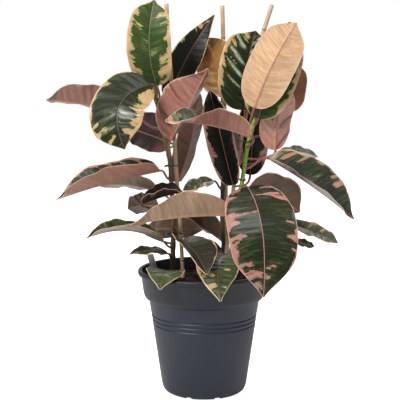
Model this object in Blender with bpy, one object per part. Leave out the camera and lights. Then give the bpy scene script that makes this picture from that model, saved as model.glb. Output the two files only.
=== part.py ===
"""A potted Belize rubber plant: a variegated fig with three staked stems in a black nursery pot.

Frame: metres, +Z up, the origin at the centre of the pot's underside. The plant is seen from -Y.
Sizes and places below are in millimetres and degrees, and MM turns them into metres.
"""

import math
import random
from collections import namedtuple

import bmesh
import bpy
from mathutils import Matrix, Vector

MM = 0.001
CLEARANCE = 0.4

# Pot
POT_HEIGHT = 225
POT_SEGMENTS = 40
RIM_RADIUS = 120
RIM_INNER_RADIUS = 113
LIP_HEIGHT = 7
BAND_TOP_RADIUS = 114.5
BAND_FOOT_RADIUS = 109.5
BAND_FOOT_HEIGHT = 181
BODY_TOP_RADIUS = 100
BODY_TOP_HEIGHT = 171.5
BODY_FOOT_RADIUS = 77
BODY_FOOT_HEIGHT = 12
FOOT_RADIUS = 65
FOOT_ROUND = 3.5
FLOOR_THICKNESS = 4
WALL_THICKNESS = 2.2
GROOVE_HEIGHTS = (145, 137, 129)
GROOVE_DEPTH = 1.6
GROOVE_HALF_HEIGHT = 2.2
DRAIN_COUNT = 8
DRAIN_FIRST_ANGLE = -114.5
DRAIN_SIZE = (22, 13, 9)
DRAIN_RADIUS = 69

# Soil
SOIL_HEIGHT = 205
SOIL_RINGS = (97, 80, 62, 44, 24, 0)
SOIL_LUMP_HEIGHT = 2.5
SOIL_SEED = 11
HOLE_CLEARANCE = 0.7
HOLE_RISE = 30

# Plant label
LABEL_WIDTH = 12
LABEL_LENGTH = 100
LABEL_THICKNESS = 0.8
LABEL_POINT_LENGTH = 15
LABEL_POINT_HALF_WIDTH = 1.5
LABEL_TOP = (-99, 20, 248)
LABEL_LEAN = 16
LABEL_TURN = 12

# Stems, each a list of (x, y, height) points from the soil to the growing tip
STEM_ROUTES = {
    "left": ((-60, 20, 178), (-57, 18, 256), (-56, 16, 316), (-59, 14, 376),
             (-62, 12, 422), (-69, 10, 455), (-79, 8, 503), (-87, 6, 536)),
    "back": ((38, 46, 178), (36, 45, 265), (33, 44, 308), (34, 44, 364),
             (34, 43, 437), (34, 42, 510), (36, 42, 532)),
    "right": ((46, 16, 178), (53, 16, 293), (67, 14, 372), (74, 14, 422),
              (77, 14, 444), (83, 11, 469), (91, 6, 498)),
}
STEM_RADII = {"left": (5.2, 3.6), "back": (5.0, 3.4), "right": (5.0, 3.6)}
STEM_SIDES = 10
STEM_STATIONS = 14
BUD_LENGTHS = {"left": 26, "back": 20, "right": 16}
BUD_SIDES = 8
BUD_PROFILE = ((0.0, 1.0), (0.2, 1.12), (0.45, 1.0), (0.7, 0.7), (0.88, 0.4), (1.0, 0.12))

# Bamboo stakes, from their foot in the soil to their cut top
STAKE_ROUTES = {
    "left": ((-33.5, 24, 100), (-44, 20, 308), (-50, 19, 394), (-58, 16, 549), (-67, 12, 700)),
    "back": ((47, 58, 100), (40, 58, 362), (35, 71, 625), (33, 76, 697)),
    "right": ((27, 34, 100), (52.5, 31, 362), (65, 32, 446), (104, 46, 642), (122, 50, 698)),
}
STAKE_RADIUS = 3.7
STAKE_SIDES = 8
STAKE_STATIONS = 12

# Wire ties, each round a stem and its stake at a height, its tails at an angle from the front
TIES = (
    ("left_upper", "left", 412, -70),
    ("left_lower", "left", 288, -60),
    ("right_upper", "right", 455, -60),
    ("right_lower", "right", 386, -65),
    ("back_upper", "back", 384, -80),
)
TIE_WIRE_RADIUS = 0.9
TIE_WIRE_SIDES = 6
TIE_SLACK = 0.5
TIE_STEM_SLACK = 1.12
TIE_STAKE_SLACK = 1.25
TIE_STEPS = 9
TIE_OPENING = 8
TIE_PITCH = 1.5
TIE_TAIL_LENGTHS = (9, 7)
TIE_TAIL_RISES = (-1.0, 2.5)
TIE_TAIL_SPREAD = 0.5

# Leaves. Base and tip are the ends of the blade. Faces is the way its upper side looks: the turn from
# the front (-Y) towards +X, and the rise. Bow lifts the middle towards the upper side, sweep moves it
# to the left of the midrib, fold raises both halves, twist turns the blade along its length, and
# point is the share of the length over which the tip draws in.
Leaf = namedtuple("Leaf", "name stem root base tip bow sweep width faces fold twist point")
LEAVES = (
    Leaf("left_crown_upright", "left", 530, (-84, 0, 556), (-87, -16, 706), 22, 7, 79, (-10, 12), 10, 0, 0.1),
    Leaf("left_crown_hanging", "left", 528, (-93, -26, 560), (-137, -84, 452), 24, -30, 98, (-12, 28), 8, 0, 0.13),
    Leaf("left_far_upper", "left", 480, (-123, 0, 501), (-279, -14, 532), 6, 0, 80, (180, 50), 32, 0, 0.16),
    Leaf("left_shaded", "left", 442, (-62, 58, 449), (-145, 63, 477), 4, 0, 84, (180, 26), 14, 0, 0.16),
    Leaf("left_crown_back", "left", 505, (-66, 40, 528), (18, 50, 680), -4, 7, 57, (0, 15), 14, 0, 0.36),
    Leaf("centre_upright_front", "left", 430, (-60, -17, 461), (6, -40, 588), 4, 4, 108, (-145, 10), 44, 0, 0.36),
    Leaf("centre_upright_back", "left", 390, (-48, 43, 380), (-8, 50, 539), 4, 9, 56, (-150, 10), 30, 0, 0.16),
    Leaf("back_crown_olive", "back", 500, (32, 50, 533), (-2, 57, 640), 4, 8, 78, (180, 10), 12, 0, 0.16),
    Leaf("right_crown_splashed", "right", 470, (73, 14, 512), (92, 32, 652), 6, 6, 100, (-4, 8), 8, 0, 0.1),
    Leaf("right_crown_peach", "right", 476, (88, -18, 519), (159, -40, 667), -6, -5, 84, (172, 5), 10, 0, 0.12),
    Leaf("right_crown_inner", "right", 487, (96, -4, 498), (150, -8, 668), 2, 0, 92, (4, 8), 8, 0, 0.2),
    Leaf("right_outer_upper", "right", 464, (147, 45, 506), (159, 52, 600), 4, 0, 74, (185, 20), 12, 0, 0.16),
    Leaf("right_outer_middle", "right", 425, (128, 17, 440), (152, 6, 556), 6, -6, 64, (200, 10), 14, 0, 0.16),
    Leaf("right_inner_dark", "right", 374, (85, 62, 389), (94, 73, 536), 4, 0, 60, (0, 5), 8, 0, 0.16),
    Leaf("centre_crossing", "right", 446, (80, -34, 470), (-67, -86, 501), 8, 0, 76, (180, 50), 34, -90, 0.2),
    Leaf("centre_dark", "right", 374, (52, 24, 375), (10, 22, 548), 4, 0, 68, (-10, 12), 42, 0, 0.16),
    Leaf("centre_grey", "back", 395, (56, 40, 404), (36, 50, 482), 4, 0, 46, (180, 10), 12, 0, 0.16),
    Leaf("right_long", "right", 408, (114, -8, 428), (265, -40, 323), 6, 0, 92, (0, 68), 42, 0, 0.24),
    Leaf("right_small_back", "right", 415, (138, 42, 432), (208, 54, 423), 6, 0, 34, (0, 65), 12, 0, 0.16),
    Leaf("front_large", "right", 372, (77, -16, 377), (100, -150, 207), 42, 8, 121, (3, 42), 6, 0, 0.18),
    Leaf("right_under", "right", 358, (80, 24, 370), (175, 34, 324), 8, 0, 98, (160, 32), 14, 0, 0.16),
    Leaf("right_lower", "right", 312, (154, -6, 310), (237, -40, 280), 3, 0, 36, (10, 55), 16, 0, 0.16),
    Leaf("right_lower_small", "right", 275, (163, 10, 276), (199, 4, 265), 1, 0, 17, (0, 45), 8, 0, 0.16),
    Leaf("left_long", "left", 388, (-79, 0, 405), (-263, -30, 356), 4, 0, 84, (0, 86), 50, 0, 0.22),
    Leaf("left_long_back", "left", 352, (-86, 40, 362), (-192, 60, 368), 8, 0, 60, (-170, 50), 20, 0, 0.16),
    Leaf("centre_cream_edge", "left", 332, (-110, 0, 346), (-38, -12, 368), 2, 0, 58, (0, 80), 40, 0, 0.16),
    Leaf("centre_small_splashed", "back", 366, (16, 22, 383), (-38, 4, 368), 4, 0, 32, (0, 60), 10, 0, 0.16),
    Leaf("centre_long_tan", "right", 325, (44, -14, 326), (-129, -75, 318), 6, 0, 96, (180, 45), 35, 0, 0.42),
    Leaf("left_round_back", "left", 326, (-83, 45, 335), (-141, 57, 327), 4, 0, 60, (-170, 40), 10, 0, 0.12),
    Leaf("left_lower_arched", "left", 262, (-75, 2, 276), (-210, -35, 287), 18, 0, 54, (0, 86), 34, 0, 0.16),
    Leaf("left_lower_back", "left", 268, (-107, 50, 287), (-3, 62, 286), 4, 0, 52, (180, 30), 8, 0, 0.16),
    Leaf("back_lower_olive", "back", 254, (31, 78, 265), (-37, 86, 304), 2, 0, 66, (180, 45), 35, 0, 0.16),
    Leaf("left_lower_twisted", "left", 242, (-66, 0, 254), (-133, -30, 258), 6, 0, 32, (0, 72), 8, 0, 0.16),
    Leaf("front_left_rim", "left", 213, (-64, -14, 215), (-76, -136, 217), 20, 0, 68, (20, 78), 6, 0, 0.3),
    Leaf("front_right_rim", "right", 228, (35, -20, 257), (27, -160, 202), 16, -8, 76, (0, 62), 8, 0, 0.34),
    Leaf("front_folded", "left", 300, (-44, -14, 281), (4, -128, 241), 10, 0, 80, (35, 52), 28, 0, 0.3),
    Leaf("front_striped", "back", 235, (31, 32, 251), (-33, 26, 265), 2, 0, 34, (-10, 50), 16, 0, 0.16),
)
PETIOLE_RADIUS = 2.1
PETIOLE_STATIONS = (0.0, 0.4, 0.75)
STALK_PULL = 0.35
BLADE_STATIONS = (0.0, 0.04, 0.12, 0.25, 0.4, 0.56, 0.71, 0.84, 0.92, 0.965, 0.986, 1.0)
ACROSS = (-1.0, -0.5, 0.0, 0.5, 1.0)
BLADE_THICKNESS = 0.9
MIDRIB_THICKNESS = 1.7
TIP_HALF_WIDTH = 1.2
OVAL_POWER = 2.2
WIDEST = 0.95
BLUNTNESS = 8
TIP_REACH = 1.5
TIP_CURVE = 1.8
TIP_POWER = 0.85
WAVE_HEIGHT = 2.0
WAVE_COUNT = 2.3


def clear_scene():
    """Remove whatever the file opened with."""
    for thing in list(bpy.data.objects):
        bpy.data.objects.remove(thing)


def new_material(name, color, roughness, metallic=0.0):
    """A plain Principled material."""
    material = bpy.data.materials.new(name)
    material.use_nodes = True
    shader = material.node_tree.nodes["Principled BSDF"]
    shader.inputs["Base Color"].default_value = (*color, 1.0)
    shader.inputs["Roughness"].default_value = roughness
    shader.inputs["Metallic"].default_value = metallic
    material.diffuse_color = (*color, 1.0)
    return material


def new_object(name, mesh, material):
    """Put a mesh or curve in the scene as one named sub-part."""
    thing = bpy.data.objects.new(name, mesh)
    mesh.materials.append(material)
    bpy.context.scene.collection.objects.link(thing)
    return thing


def finish_mesh(name, shape, material, smooth=True):
    """Turn a bmesh into a named object."""
    mesh = bpy.data.meshes.new(name)
    shape.to_mesh(mesh)
    shape.free()
    if smooth:
        mesh.shade_smooth()
        mesh.set_sharp_from_angle(angle=math.radians(40))
    return new_object(name, mesh, material)


def turned_shape(profile, segments):
    """Spin a closed (radius, height) profile in millimetres about the vertical axis."""
    shape = bmesh.new()
    corners = [shape.verts.new((radius * MM, 0, height * MM)) for radius, height in profile]
    edges = [shape.edges.new(pair) for pair in zip(corners, corners[1:])]
    bmesh.ops.spin(
        shape,
        geom=corners + edges,
        axis=(0, 0, 1),
        cent=(0, 0, 0),
        angle=math.tau,
        steps=segments,
        use_merge=True,
    )
    bmesh.ops.remove_doubles(shape, verts=shape.verts, dist=0.01 * MM)
    bmesh.ops.recalc_face_normals(shape, faces=shape.faces)
    return shape


def cut_away(thing, cutters):
    """Cut every object of a hidden collection out of a thing, and remove those cutters."""
    modifier = thing.modifiers.new("Cut", "BOOLEAN")
    modifier.operation = "DIFFERENCE"
    modifier.operand_type = "COLLECTION"
    modifier.collection = cutters
    bpy.context.view_layer.update()
    graph = bpy.context.evaluated_depsgraph_get()
    mesh = bpy.data.meshes.new_from_object(thing.evaluated_get(graph))
    thing.modifiers.clear()
    thing.data = mesh
    for cutter in list(cutters.objects):
        bpy.data.objects.remove(cutter)
    bpy.data.collections.remove(cutters)


def hidden_collection(name, things):
    """Gather cutters in a collection of their own, drawn as wires and left out of renders."""
    collection = bpy.data.collections.new(name)
    bpy.context.scene.collection.children.link(collection)
    for thing in things:
        for owner in list(thing.users_collection):
            owner.objects.unlink(thing)
        collection.objects.link(thing)
        thing.hide_render = True
        thing.display_type = "WIRE"
    return collection


def body_radius(height):
    """The tapered wall's outer radius at a height."""
    share = (height - BODY_FOOT_HEIGHT) / (BODY_TOP_HEIGHT - BODY_FOOT_HEIGHT)
    return BODY_FOOT_RADIUS + share * (BODY_TOP_RADIUS - BODY_FOOT_RADIUS)


def inner_wall():
    """The pot's inside from the middle of its floor up to the rim, as (radius, height) pairs."""
    corner = FOOT_RADIUS - 2
    return [
        (0, FLOOR_THICKNESS),
        (corner, FLOOR_THICKNESS),
        (corner + 8, FLOOR_THICKNESS + 4),
        (BODY_FOOT_RADIUS - WALL_THICKNESS, BODY_FOOT_HEIGHT + 3),
        (BODY_TOP_RADIUS - WALL_THICKNESS, BODY_TOP_HEIGHT + 2),
        (BAND_FOOT_RADIUS - WALL_THICKNESS, BAND_FOOT_HEIGHT + 3),
        (RIM_INNER_RADIUS - 1, POT_HEIGHT - LIP_HEIGHT),
        (RIM_INNER_RADIUS, POT_HEIGHT),
    ]


def inner_radius(wanted):
    """The radius of the pot's inside at a height."""
    wall = inner_wall()
    for (radius, height), (next_radius, next_height) in zip(wall, wall[1:]):
        if height < wanted <= next_height:
            return radius + (next_radius - radius) * (wanted - height) / (next_height - height)
    raise ValueError(f"the pot has no inside at {wanted}")


def build_pot(material):
    """Injection-moulded pot: lip, band, three grooves, tapered wall and drain notches round its foot."""
    lip_foot = POT_HEIGHT - LIP_HEIGHT
    outside = [
        (RIM_RADIUS - 1.5, POT_HEIGHT),
        (RIM_RADIUS, POT_HEIGHT - 1.5),
        (RIM_RADIUS, lip_foot),
        (BAND_TOP_RADIUS, lip_foot - 1.5),
        (BAND_FOOT_RADIUS, BAND_FOOT_HEIGHT),
        (BAND_FOOT_RADIUS - 3, BAND_FOOT_HEIGHT - 5.5),
        (BODY_TOP_RADIUS, BODY_TOP_HEIGHT),
    ]
    for height in GROOVE_HEIGHTS:
        top = height + GROOVE_HALF_HEIGHT
        foot = height - GROOVE_HALF_HEIGHT
        outside += [
            (body_radius(top), top),
            (body_radius(height) - GROOVE_DEPTH, height),
            (body_radius(foot), foot),
        ]
    outside += [
        (BODY_FOOT_RADIUS, BODY_FOOT_HEIGHT),
        (BODY_FOOT_RADIUS - FOOT_ROUND, FOOT_ROUND + 1.5),
        (FOOT_RADIUS + 3, 0.8),
        (FOOT_RADIUS, 0),
        (0, 0),
    ]
    profile = inner_wall() + outside
    pot = finish_mesh("pot", turned_shape(profile, POT_SEGMENTS), material)
    notches = []
    for index in range(DRAIN_COUNT):
        angle = math.radians(DRAIN_FIRST_ANGLE + index * 360 / DRAIN_COUNT)
        shape = bmesh.new()
        bmesh.ops.create_cube(shape, size=1.0)
        bmesh.ops.scale(shape, verts=shape.verts, vec=Vector(DRAIN_SIZE) * MM)
        bmesh.ops.translate(shape, verts=shape.verts, vec=(DRAIN_RADIUS * MM, 0, 0))
        bmesh.ops.rotate(shape, verts=shape.verts, matrix=Matrix.Rotation(angle, 3, "Z"))
        notches.append(finish_mesh(f"drain_cutter_{index}", shape, material, smooth=False))
    cut_away(pot, hidden_collection("drain_cutters", notches))
    return pot


def smooth_route(points, count):
    """A smooth curve through hand-placed points, read at even steps along it."""
    points = [Vector(point) for point in points]
    lengths = [0.0]
    for one, two in zip(points, points[1:]):
        lengths.append(lengths[-1] + (two - one).length)
    slopes = []
    for index in range(len(points)):
        before = max(index - 1, 0)
        after = min(index + 1, len(points) - 1)
        slopes.append((points[after] - points[before]) / (lengths[after] - lengths[before]))
    route = []
    for step in range(count):
        along = lengths[-1] * step / (count - 1)
        index = max(i for i in range(len(points) - 1) if lengths[i] <= along + 1e-9)
        gap = lengths[index + 1] - lengths[index]
        share = (along - lengths[index]) / gap
        square = share * share
        cube = square * share
        route.append(
            points[index] * (2 * cube - 3 * square + 1)
            + slopes[index] * gap * (cube - 2 * square + share)
            + points[index + 1] * (3 * square - 2 * cube)
            + slopes[index + 1] * gap * (cube - square)
        )
    return route


def tube(name, route, radii, sides, material):
    """A round bar along a route in millimetres, with a radius at each point and closed ends."""
    data = bpy.data.curves.new(name, "CURVE")
    data.dimensions = "3D"
    data.use_fill_caps = True
    data.bevel_mode = "ROUND"
    data.bevel_depth = MM
    data.bevel_resolution = sides // 2 - 2
    spline = data.splines.new("POLY")
    spline.points.add(len(route) - 1)
    for point, place, radius in zip(spline.points, route, radii):
        point.co = (*(Vector(place) * MM), 1.0)
        point.radius = radius
    spline.use_smooth = True
    return new_object(name, data, material)


def mesh_copy(name, source):
    """The evaluated mesh of a curve object as a mesh object of its own, for use as a cutter."""
    bpy.context.view_layer.update()
    graph = bpy.context.evaluated_depsgraph_get()
    mesh = bpy.data.meshes.new_from_object(source.evaluated_get(graph))
    shape = bmesh.new()
    shape.from_mesh(mesh)
    bmesh.ops.remove_doubles(shape, verts=shape.verts, dist=0.001 * MM)
    bmesh.ops.recalc_face_normals(shape, faces=shape.faces)
    material = source.data.materials[0]
    bpy.data.meshes.remove(mesh)
    return finish_mesh(name, shape, material)


def stem_route(stem):
    """The stem's centre line, from inside the soil to the growing tip."""
    return smooth_route(STEM_ROUTES[stem], STEM_STATIONS)


def stem_radius(stem, share):
    """The stem's radius a share of the way up it."""
    foot, top = STEM_RADII[stem]
    return foot + (top - foot) * share


def stake_route(stem):
    """The stake's centre line, from its foot in the soil to its cut top."""
    return smooth_route(STAKE_ROUTES[stem], STAKE_STATIONS)


def at_height(route, height):
    """The place on a rising route at a height, its direction there, and its share of the way up."""
    for index, (one, two) in enumerate(zip(route, route[1:])):
        if one.z <= height <= two.z:
            share = (height - one.z) / (two.z - one.z)
            place = one.lerp(two, share)
            return place, (two - one).normalized(), (index + share) / (len(route) - 1)
    raise ValueError(f"no point of the route is at {height}")


def build_soil(material, obstacles):
    """Potting soil that fills the pot, with a lumpy top and a plain hole for all that stands in it."""
    wall = []
    for radius, height in inner_wall():
        inside = max(radius - CLEARANCE, 0)
        if height < SOIL_HEIGHT:
            wall.append((inside, height + CLEARANCE))
    wall.append((inner_radius(SOIL_HEIGHT - 1) - CLEARANCE, SOIL_HEIGHT - 1))
    for radius in SOIL_RINGS:
        wall.append((radius, SOIL_HEIGHT))
    shape = turned_shape(wall, POT_SEGMENTS)
    draw = random.Random(SOIL_SEED)
    for vertex in shape.verts:
        if vertex.co.z > (SOIL_HEIGHT - 0.5) * MM:
            vertex.co.z += draw.uniform(-1, 1) * SOIL_LUMP_HEIGHT * MM
    soil = finish_mesh("soil", shape, material)
    cut_away(soil, hidden_collection("soil_holes", obstacles))
    return soil


def hole_cutter(name, route, radius, sides, material):
    """A tube a little wider than what stands in the soil, from just below its foot to above the soil."""
    start = route[0] - (route[1] - route[0]).normalized() * HOLE_CLEARANCE
    inside = [start] + [point for point in route[1:] if point.z < SOIL_HEIGHT + HOLE_RISE]
    radii = [radius + HOLE_CLEARANCE] * len(inside)
    guide = tube(name + "_guide", inside, radii, sides, material)
    cutter = mesh_copy(name, guide)
    bpy.data.objects.remove(guide)
    return cutter


def label_shape(growth):
    """A plain plant label with a pointed foot, grown by an amount on every side."""
    half_width = LABEL_WIDTH / 2 + growth
    half_depth = LABEL_THICKNESS / 2 + growth
    foot = -LABEL_LENGTH - growth
    outline = [
        (-half_width, growth),
        (half_width, growth),
        (half_width, foot + LABEL_POINT_LENGTH),
        (LABEL_POINT_HALF_WIDTH + growth, foot),
        (-LABEL_POINT_HALF_WIDTH - growth, foot),
        (-half_width, foot + LABEL_POINT_LENGTH),
    ]
    shape = bmesh.new()
    face = shape.faces.new([shape.verts.new((x * MM, -half_depth * MM, z * MM)) for x, z in outline])
    deep = bmesh.ops.extrude_face_region(shape, geom=[face])
    moved = [item for item in deep["geom"] if isinstance(item, bmesh.types.BMVert)]
    bmesh.ops.translate(shape, verts=moved, vec=(0, 2 * half_depth * MM, 0))
    lean = Matrix.Rotation(math.radians(LABEL_LEAN), 4, "Y").inverted()
    turn = Matrix.Rotation(math.radians(LABEL_TURN), 4, "Z")
    place = Matrix.Translation(Vector(LABEL_TOP) * MM)
    bmesh.ops.transform(shape, matrix=place @ turn @ lean, verts=shape.verts)
    bmesh.ops.recalc_face_normals(shape, faces=shape.faces)
    return shape


def build_bud(stem, material):
    """The rosy sheath round the growing tip, a slim pointed cone on top of the stem."""
    route = stem_route(stem)
    rise = (route[-1] - route[-2]).normalized()
    start = route[-1] + rise * CLEARANCE
    length = BUD_LENGTHS[stem]
    radius = STEM_RADII[stem][1]
    places = [start + rise * length * share for share, _ in BUD_PROFILE]
    radii = [radius * swell for _, swell in BUD_PROFILE]
    return tube(f"bud_sheath_{stem}", places, radii, BUD_SIDES, material)


def build_tie(name, stem, height, tail_angle, material):
    """A wire tie: a loop round stem and stake, with two short tails that part."""
    stem_place, stem_rise, share = at_height(stem_route(stem), height)
    stake_place, stake_rise, _ = at_height(stake_route(stem), height)
    across = (stake_place - stem_place).normalized()
    up = (stem_rise + stake_rise).normalized()
    front = across.cross(up).normalized()
    if front.y > 0:
        front = -front
    wire = TIE_WIRE_RADIUS + CLEARANCE + TIE_SLACK
    stem_reach = stem_radius(stem, share) * TIE_STEM_SLACK + wire
    stake_reach = STAKE_RADIUS * TIE_STAKE_SLACK + wire
    first = math.radians(tail_angle)
    outward = (across * math.sin(first) + front * math.cos(first)).normalized()
    opening = math.radians(TIE_OPENING)
    route = []
    for step in range(TIE_STEPS + 1):
        angle = first + opening + (math.tau - 2 * opening) * step / TIE_STEPS
        way = front * math.cos(angle) + across * math.sin(angle)
        round_stake = way.dot(across) > 0
        centre = stake_place if round_stake else stem_place
        reach = stake_reach if round_stake else stem_reach
        route.append(centre + way * reach + up * TIE_PITCH * (step / TIE_STEPS - 0.5))
    side = up.cross(outward).normalized() * TIE_TAIL_SPREAD
    head = route[0] + outward * TIE_TAIL_LENGTHS[0] + up * TIE_TAIL_RISES[0] + side
    tail = route[-1] + outward * TIE_TAIL_LENGTHS[1] + up * TIE_TAIL_RISES[1] - side
    route = [head, *route, tail]
    return tube(f"tie_{name}", route, [TIE_WIRE_RADIUS] * len(route), TIE_WIRE_SIDES, material)


def facing_vector(faces):
    """The unit vector of a (turn from the front, rise) pair in degrees."""
    turn, rise = (math.radians(value) for value in faces)
    return Vector((math.sin(turn) * math.cos(rise), -math.cos(turn) * math.cos(rise), math.sin(rise)))


def blade_frame(leaf):
    """The leaf's chord, and its upward and sideways directions square to it."""
    chord = Vector(leaf.tip) - Vector(leaf.base)
    along = chord.normalized()
    up = facing_vector(leaf.faces)
    up = (up - along * up.dot(along)).normalized()
    return chord, up, up.cross(along)


def half_width(leaf, share):
    """Half the blade's width a share of the way along: a blunt oval drawn out into a drip tip."""
    power = OVAL_POWER + BLUNTNESS * max(0.0, 0.2 - leaf.point)
    oval = max(1 - abs(2 * share**WIDEST - 1) ** power, 0.0) ** 0.5
    rest = 1 - min(1.0, (1 - share) / (TIP_REACH * leaf.point))
    taper = (1 - rest**TIP_CURVE) ** TIP_POWER
    return PETIOLE_RADIUS + (leaf.width / 2 - PETIOLE_RADIUS) * oval * taper


def blade_rings(leaf):
    """Closed rings of points across the blade, from its base to its drip tip."""
    chord, up, side = blade_frame(leaf)
    rings = []
    for share in BLADE_STATIONS:
        arch = 4 * share * (1 - share)
        slope = 4 - 8 * share
        centre = Vector(leaf.base) + chord * share + up * leaf.bow * arch + side * leaf.sweep * arch
        along = (chord + up * leaf.bow * slope + side * leaf.sweep * slope).normalized()
        turn = Matrix.Rotation(math.radians(leaf.twist) * share**2, 3, along)
        lift = turn @ (up - along * up.dot(along)).normalized()
        left = lift.cross(along)
        reach = half_width(leaf, share)
        if share == 1.0:
            reach = TIP_HALF_WIDTH
        fold = math.radians(leaf.fold) * min(1.0, reach * 4 / leaf.width)
        upper = []
        lower = []
        for across in ACROSS:
            wave = WAVE_HEIGHT * math.sin(math.tau * WAVE_COUNT * share + 1.3 * across) * across**2
            wave *= 4 * share * (1 - share)
            rise = abs(across) * reach * math.sin(fold) + wave
            place = centre + left * across * reach * math.cos(fold) + lift * rise
            depth = MIDRIB_THICKNESS if across == 0 else BLADE_THICKNESS / math.cos(fold)
            upper.append(place + lift * depth / 2)
            lower.append(place - lift * depth / 2)
        rings.append(upper + lower[::-1])
    return rings


def petiole_rings(leaf):
    """Closed rings of points round the leaf's stalk, from the stem's skin to the blade."""
    place, rise, share = at_height(stem_route(leaf.stem), leaf.root)
    base = Vector(leaf.base)
    out = base - place
    out = (out - rise * out.dot(rise)).normalized()
    start = place + out * (stem_radius(leaf.stem, share) + CLEARANCE)
    chord, up, side = blade_frame(leaf)
    reach = (base - start).length
    entry = (chord + 4 * (up * leaf.bow + side * leaf.sweep)).normalized()
    first = start + out * reach * STALK_PULL
    last = base - entry * reach * STALK_PULL
    rings = []
    for share in PETIOLE_STATIONS:
        rest = 1 - share
        centre = (
            start * rest**3
            + first * 3 * rest**2 * share
            + last * 3 * rest * share**2
            + base * share**3
        )
        along = (
            (first - start) * rest**2 + (last - first) * 2 * rest * share + (base - last) * share**2
        ).normalized()
        lift = rise.lerp(up, share)
        lift = (lift - along * lift.dot(along)).normalized()
        left = lift.cross(along)
        ring = []
        for index in range(2 * len(ACROSS)):
            angle = math.radians(162 - 36 * index)
            ring.append(centre + (lift * math.sin(angle) + left * math.cos(angle)) * PETIOLE_RADIUS)
        rings.append(ring)
    return rings


def build_leaf(leaf, material):
    """One leaf, stalk and blade in one body, its two sides split into the same triangles."""
    rings = petiole_rings(leaf) + blade_rings(leaf)
    shape = bmesh.new()
    rows = [[shape.verts.new(point * MM) for point in ring] for ring in rings]
    count = len(ACROSS)
    total = 2 * count
    for near, far in zip(rows, rows[1:]):
        for index in range(total):
            after = (index + 1) % total
            leftward = index < count // 2 or index >= total - count // 2 - 1
            on_top = index < count - 1
            rising = leftward != on_top
            if rising:
                shape.faces.new((near[index], far[after], near[after]))
                shape.faces.new((near[index], far[index], far[after]))
            else:
                shape.faces.new((near[index], far[index], near[after]))
                shape.faces.new((near[after], far[index], far[after]))
    shape.faces.new(rows[0])
    shape.faces.new(rows[-1][::-1])
    return finish_mesh(f"leaf_{leaf.name}", shape, material)


def build_plant():
    """Every sub-part of the plant and its pot."""
    pot_plastic = new_material("pot_plastic", (0.05, 0.052, 0.06), 0.45)
    soil_material = new_material("soil", (0.03, 0.018, 0.012), 0.95)
    label_plastic = new_material("label_plastic", (0.32, 0.3, 0.36), 0.5)
    green_stem = new_material("green_stem", (0.25, 0.36, 0.06), 0.45)
    brown_stem = new_material("brown_stem", (0.12, 0.1, 0.05), 0.6)
    bud_skin = new_material("bud_skin", (0.55, 0.14, 0.1), 0.4)
    bamboo = new_material("bamboo", (0.72, 0.5, 0.26), 0.45)
    tie_plastic = new_material("tie_plastic", (0.01, 0.02, 0.015), 0.4)
    leaf_skin = new_material("leaf_skin", (0.1, 0.2, 0.09), 0.35)

    stem_skins = {"left": brown_stem, "back": brown_stem, "right": green_stem}
    holes = []
    for stem, skin in stem_skins.items():
        route = stem_route(stem)
        radii = [stem_radius(stem, index / (len(route) - 1)) for index in range(len(route))]
        tube(f"stem_{stem}", route, radii, STEM_SIDES, skin)
        holes.append(hole_cutter(f"hole_stem_{stem}", route, radii[0], STEM_SIDES, skin))
        cane = stake_route(stem)
        tube(f"stake_{stem}", cane, [STAKE_RADIUS] * len(cane), STAKE_SIDES, bamboo)
        holes.append(hole_cutter(f"hole_stake_{stem}", cane, STAKE_RADIUS, STAKE_SIDES, bamboo))
        build_bud(stem, bud_skin)

    finish_mesh("plant_label", label_shape(0), label_plastic, smooth=False)
    holes.append(finish_mesh("hole_label", label_shape(HOLE_CLEARANCE), label_plastic, smooth=False))
    build_pot(pot_plastic)
    build_soil(soil_material, holes)
    for name, stem, height, tail_angle in TIES:
        build_tie(name, stem, height, tail_angle, tie_plastic)
    for leaf in LEAVES:
        build_leaf(leaf, leaf_skin)


clear_scene()
build_plant()
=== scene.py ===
"""A potted Belize rubber plant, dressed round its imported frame: moulded pot, crumbly soil, bare label,
bamboo stakes, twist ties, three stems with their buds, and broad waxy leaves splashed with cream and pink.
"""

import math
import random
from collections import namedtuple

import bmesh
import bpy
from mathutils import Euler, Matrix, Vector, noise


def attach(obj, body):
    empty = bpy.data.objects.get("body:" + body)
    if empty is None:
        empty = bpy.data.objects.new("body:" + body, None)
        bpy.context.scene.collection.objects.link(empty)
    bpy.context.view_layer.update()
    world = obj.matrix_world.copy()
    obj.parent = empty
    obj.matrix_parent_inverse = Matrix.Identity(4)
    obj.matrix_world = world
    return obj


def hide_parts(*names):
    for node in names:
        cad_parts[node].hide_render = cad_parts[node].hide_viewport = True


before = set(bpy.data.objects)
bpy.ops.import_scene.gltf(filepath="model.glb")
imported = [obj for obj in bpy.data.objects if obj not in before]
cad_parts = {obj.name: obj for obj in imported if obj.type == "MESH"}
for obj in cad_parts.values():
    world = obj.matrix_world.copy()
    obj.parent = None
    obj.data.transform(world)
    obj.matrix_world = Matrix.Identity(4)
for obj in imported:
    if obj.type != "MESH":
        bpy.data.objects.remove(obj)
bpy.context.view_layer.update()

# Pot. A round nursery pot of anthracite polypropylene, injection moulded in one shot: a flat lip, a band
# that flares above a ledge, three shallow grooves and a tapered wall with drain notches round its foot.
MM = 0.001
POT_STEPS = 176
POT_BODY_FOOT = (77, 12)
POT_BODY_TOP = (100, 171.5)
POT_GROOVES = (145, 137, 129)
POT_GROOVE_DEPTH = 1.7
POT_GROOVE_REACH = 2.3
POT_NOTCHES = 8
POT_NOTCH_TURN = -114.5
POT_NOTCH_SIZE = (22, 13, 9)
POT_NOTCH_RADIUS = 69
POT_INSIDE = (
    (0, 4, 0), (63, 4, 3), (71, 8, 3), (74.8, 15, 3),
    (97.8, 173.5, 3), (107.3, 184, 4), (112, 218, 1), (113, 225, 0.8),
)
POT_PLASTIC = (0.016, 0.0195, 0.034)
POT_DUST = (0.16, 0.15, 0.14)


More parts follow.
